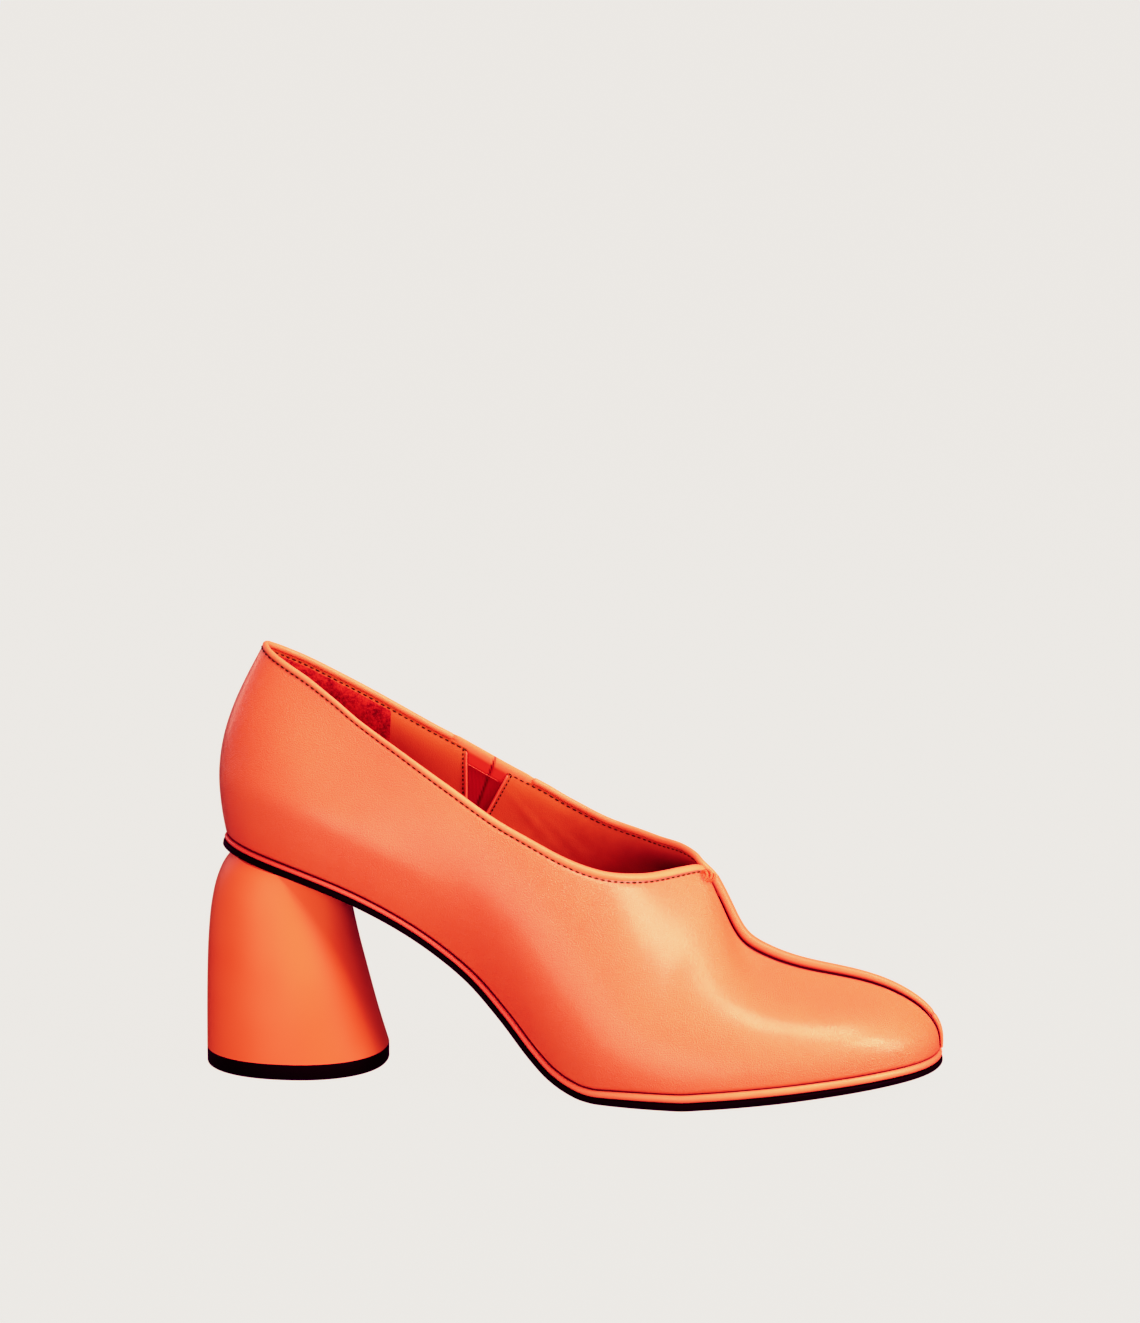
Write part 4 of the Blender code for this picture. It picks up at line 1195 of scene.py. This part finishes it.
def stitchTree():
    tree = bpy.data.node_groups.new("stitch_run", "GeometryNodeTree")
    taken = {"Geometry": "Geometry", "Pitch": "Float", "Stitch Length": "Float", "Thread": "Float",
             "Seed": "Int", "Thread Finish": "Material"}
    for name, kind in taken.items():
        tree.interface.new_socket(name, in_out="INPUT", socket_type="NodeSocket" + kind)
    tree.interface.new_socket("Geometry", in_out="OUTPUT", socket_type="NodeSocketGeometry")
    nodes, links = tree.nodes, tree.links

    def add(kind, sockets=None, **settings):
        node = nodes.new(kind)
        for name, value in settings.items():
            setattr(node, name, value)
        for name, value in (sockets or {}).items():
            if isinstance(value, bpy.types.NodeSocket):
                links.new(value, node.inputs[name])
            else:
                node.inputs[name].default_value = value
        return node

    given = add("NodeGroupInput").outputs
    curve = add("GeometryNodeMeshToCurve", {"Mesh": given["Geometry"]})
    spacing = {"Curve": curve.outputs[0], "Length": given["Pitch"]}
    spaced = add("GeometryNodeResampleCurve", spacing, mode="LENGTH")
    tangent = add("GeometryNodeInputTangent")
    turn = add("FunctionNodeAlignRotationToVector", {"Vector": tangent.outputs[0]}, axis="X")
    bead = add("GeometryNodeMeshUVSphere", {"Segments": 8, "Rings": 6, "Radius": 0.5})
    vary = add("FunctionNodeRandomValue", {2: 0.88, 3: 1.1, "Seed": given["Seed"]}, data_type="FLOAT")
    long = add("ShaderNodeMath", {0: given["Stitch Length"], 1: vary.outputs[1]}, operation="MULTIPLY")
    size = add("ShaderNodeCombineXYZ", {0: long.outputs[0], 1: given["Thread"], 2: given["Thread"]})
    placed = add("GeometryNodeInstanceOnPoints", {
        "Points": spaced.outputs[0], "Instance": bead.outputs[0], "Rotation": turn.outputs[0],
        "Scale": size.outputs[0]})
    real = add("GeometryNodeRealizeInstances", {0: placed.outputs[0]})
    soft = add("GeometryNodeSetShadeSmooth", {0: real.outputs[0]})
    done = add("GeometryNodeSetMaterial", {0: soft.outputs[0], "Material": given["Thread Finish"]})
    links.new(done.outputs[0], add("NodeGroupOutput").inputs[0])
    return tree


stitchNodes = stitchTree()


def sew(name, lines, material, slot, pitch, length, thread, seed):
    mesh = bpy.data.meshes.new(name)
    points, edges = [], []
    for line in lines:
        start = len(points)
        points += toMetres(line).tolist()
        edges += [(k, k + 1) for k in range(start, len(points) - 1)]
    mesh.from_pydata(points, edges, [])
    piece = addObject(name, mesh)
    modifier = piece.modifiers.new("stitches", "NODES")
    modifier.node_group = stitchNodes
    values = {"Pitch": pitch * 0.001, "Stitch Length": length * 0.001, "Thread": thread * 0.001, "Seed": seed,
              "Thread Finish": material}
    for socket in stitchNodes.interface.items_tree:
        if socket.in_out == "INPUT" and socket.name in values:
            modifier[socket.identifier] = values[socket.name]
    settle(piece)
    dress(piece, material, slot)


# Stitches: pitch, length and thread (mm), and the seed of their unevenness
stitching = {"collar": (2.15, 1.6, 0.56, 3), "lining": (2.2, 1.6, 0.56, 5), "notch": (1.5, 1.1, 0.56, 7),
             "gore": (0.8, 1.0, 0.32, 9)}
notchInset = 1.1
stitchProud = 0.03  # how far the inner stitches stand off the lining
edging = {"radius": 0.42, "inset": 0.35}  # the folded edges of the lining beside the gore


def splitAtGore(line, rows):  # the collar's line in two runs, either side of the gore
    run, reach = heelRuns(), goreShape["width"] / 2 + 1.0
    return [line[rows & (run < goreRun - reach)], line[rows & (run > goreRun + reach)]]


def notchEdges(outside, inset):  # the two sides of the V, as lines on the medial wall
    base, along, _, down = goreFrame()
    at = np.linspace(0.0, 0.93, 60)[:, None]
    lines = []
    for turn in (-1, 1):
        neck = base + turn * along * (goreShape["width"] / 2 + outside)
        tip = base + down * goreShape["depth"] + turn * along * (1 + outside)
        lines.append(onMedialWall(neck * (1 - at) + tip * at, inset, 1))
    return lines


def buildStitching():
    rows = skin["share"][:, 0] < throatShare - 0.012
    drop = 0.15 - skin["seat"]
    line = onWall(skin["outer"], drop) + downSection(skin["normals"], drop) * 0.04
    sew("collar_stitches", splitAtGore(line, rows), seamThread, "edge_leather", *stitching["collar"])

    proud = liningFace + stitchProud
    drop = liningEdge() + liningShape["sewn"]
    line = onWall(skin["points"], drop) - unit(downSection(skin["normals"], drop)) * proud
    sew("lining_stitches", splitAtGore(line, rows), seamThread, "lining_leather", *stitching["lining"])
    edges = notchEdges(0.4 + notchInset, proud)
    sew("notch_stitches", edges, seamThread, "lining_leather", *stitching["notch"])

    base, along, above, _ = goreFrame()
    hem = base - above * (goreShape["hem"] + 0.1) + along * np.linspace(-6.4, 6.0, 40)[:, None]
    sew("gore_thread", [onMedialWall(hem, 1.66, 0)], hemThread, "lining_leather", *stitching["gore"])


def buildEdging():
    for name, line in zip(("rear", "front"), notchEdges(edging["inset"], liningFace + 0.05)):
        ways = [1.0, 0, 0, 0, -1.0, 0]  # the way across the edge and the way into the shoe
        frames = beside(line, np.broadcast_to(ways, (len(line), 6)))
        size = edging["radius"] * roundedEnds(frames, 0.6)
        rings = sweep(frames, size, size, threadSides)
        makePiece("notch_edging_" + name, rings, edgingFinish, "lining_leather")


buildEdging()
buildStitching()
print("stitching sewn")


# Camera at the photo's angle, floor and soft studio light

view = {"azimuth": 9.04, "elevation": 10.35, "place": (0.21339, -1.34382, 0.38445), "lens": 117.1,
        "sensor": 36.0}
lampAim = np.array([0.01, 0, 0.06])
lampDistance = 1.3
# Softboxes: name, azimuth, elevation, size in metres, watts, whether it mirrors in the gloss, colour
softboxes = [
    ("key", 64, 36, 0.5, 9.6, True, (1.0, 0.98, 0.93)),
    ("right", 76, 18, 0.6, 9.0, True, (1.0, 0.98, 0.93)),
    ("right high", 60, 58, 0.5, 5.0, True, (1.0, 0.98, 0.93)),
    ("overhead", 78, 74, 0.5, 8.6, True, (1.0, 0.97, 0.90)),
    ("front low", -10, 2, 0.9, 8.4, True, (1.0, 0.98, 0.92)),
    ("front", 10, 11, 0.5, 8.0, False, (1.0, 0.98, 0.92)),
    ("left rim", -124, 14, 0.6, 1.8, True, (1.0, 0.98, 0.96)),
    ("back", 176, 40, 0.7, 3.2, False, (1.0, 0.97, 0.90)),
]
room = {"world": (1.0, 1.0, 1.0), "worldStrength": 0.07, "floor": (0.555, 0.800, 0.806), "floorOwn": 0.995}
# Tone: red is lifted in the shade and held back in the light, green and blue fall off in the deepest shade
tone = {
    "reach": 2.5,
    "red": [(0, 0), (0.02, 0.032), (0.10, 0.20), (0.24, 0.50), (0.42, 0.745), (0.54, 0.828), (0.72, 0.892),
            (0.95, 0.922), (2.5, 0.935)],
    "green": [(0, 0), (0.02, 0.002), (0.05, 0.018), (0.10, 0.075), (0.20, 0.195), (0.40, 0.425),
              (0.70, 0.715), (1.0, 0.92), (2.5, 1.0)],
    "blue": [(0, 0), (0.006, 0.0045), (0.015, 0.010), (0.03, 0.020), (0.07, 0.064), (0.20, 0.190),
             (0.40, 0.36), (0.70, 0.66), (1.0, 0.90), (2.5, 1.0)],
}


def facing(azimuth, elevation):  # the direction from the shoe towards an azimuth and elevation
    a, e = math.radians(azimuth), math.radians(elevation)
    return np.array([math.sin(a) * math.cos(e), -math.cos(a) * math.cos(e), math.sin(e)])


def turned(back, place):  # looks along -back, upright
    right = unit(np.cross(upright, back))
    up = np.cross(back, right)
    return Matrix([[right[k], up[k], back[k], place[k]] for k in range(3)] + [[0, 0, 0, 1]])


def buildCamera():
    data = bpy.data.cameras.new("camera")
    data.sensor_width = view["sensor"]
    data.lens = view["lens"]
    data.clip_end = 200
    matrix = turned(facing(view["azimuth"], view["elevation"]), view["place"])
    bpy.context.scene.camera = addObject("camera", data, matrix)


def buildLights():
    for name, azimuth, elevation, size, watts, mirrored, color in softboxes:
        data = bpy.data.lights.new(name, "AREA")
        data.shape = "DISK"
        data.size = size
        data.energy = watts
        data.color = color
        back = facing(azimuth, elevation)
        lamp = addObject(name, data, turned(back, lampAim + back * lampDistance))
        lamp.visible_glossy = mirrored
    world = bpy.data.worlds.new("studio")
    world.use_nodes = True
    sky = world.node_tree.nodes["Background"].inputs
    sky["Color"].default_value = rgb(*room["world"])
    sky["Strength"].default_value = room["worldStrength"]
    bpy.context.scene.world = world


def buildFloor():
    bm = bmesh.new()
    bmesh.ops.create_grid(bm, x_segments=1, y_segments=1, size=60)
    floor = fromBmesh("studio_floor", bm)
    material = bpy.data.materials.new("pale_floor")
    material.use_nodes = True
    tree = material.node_tree
    tree.nodes.clear()
    out, both = (tree.nodes.new("ShaderNode" + kind) for kind in ("OutputMaterial", "MixShader"))
    both.inputs[0].default_value = 1 - room["floorOwn"]
    for k, kind in ((1, "Emission"), (2, "BsdfDiffuse")):
        part = tree.nodes.new("ShaderNode" + kind)
        part.inputs["Color"].default_value = rgb(*room["floor"])
        tree.links.new(part.outputs[0], both.inputs[k])
    tree.links.new(both.outputs[0], out.inputs["Surface"])
    floor.data.materials.append(material)
    floor.visible_diffuse = False
    floor.visible_glossy = False


def setTone():
    look = bpy.context.scene.view_settings
    look.view_transform = "Standard"
    look.use_curve_mapping = True
    mapping = look.curve_mapping
    mapping.white_level = (tone["reach"],) * 3
    mapping.extend = "HORIZONTAL"
    for channel, name in zip(mapping.curves, ("red", "green", "blue")):
        ends = channel.points[0], channel.points[-1]
        for point, (before, after) in zip(ends, (tone[name][0], tone[name][-1])):
            point.location = (before / tone["reach"], after)
        for before, after in tone[name][1:-1]:
            channel.points.new(before / tone["reach"], after)
        for point in channel.points:
            point.handle_type = "AUTO_CLAMPED"
    mapping.update()


buildCamera()
buildLights()
buildFloor()
setTone()

print("scene ready")
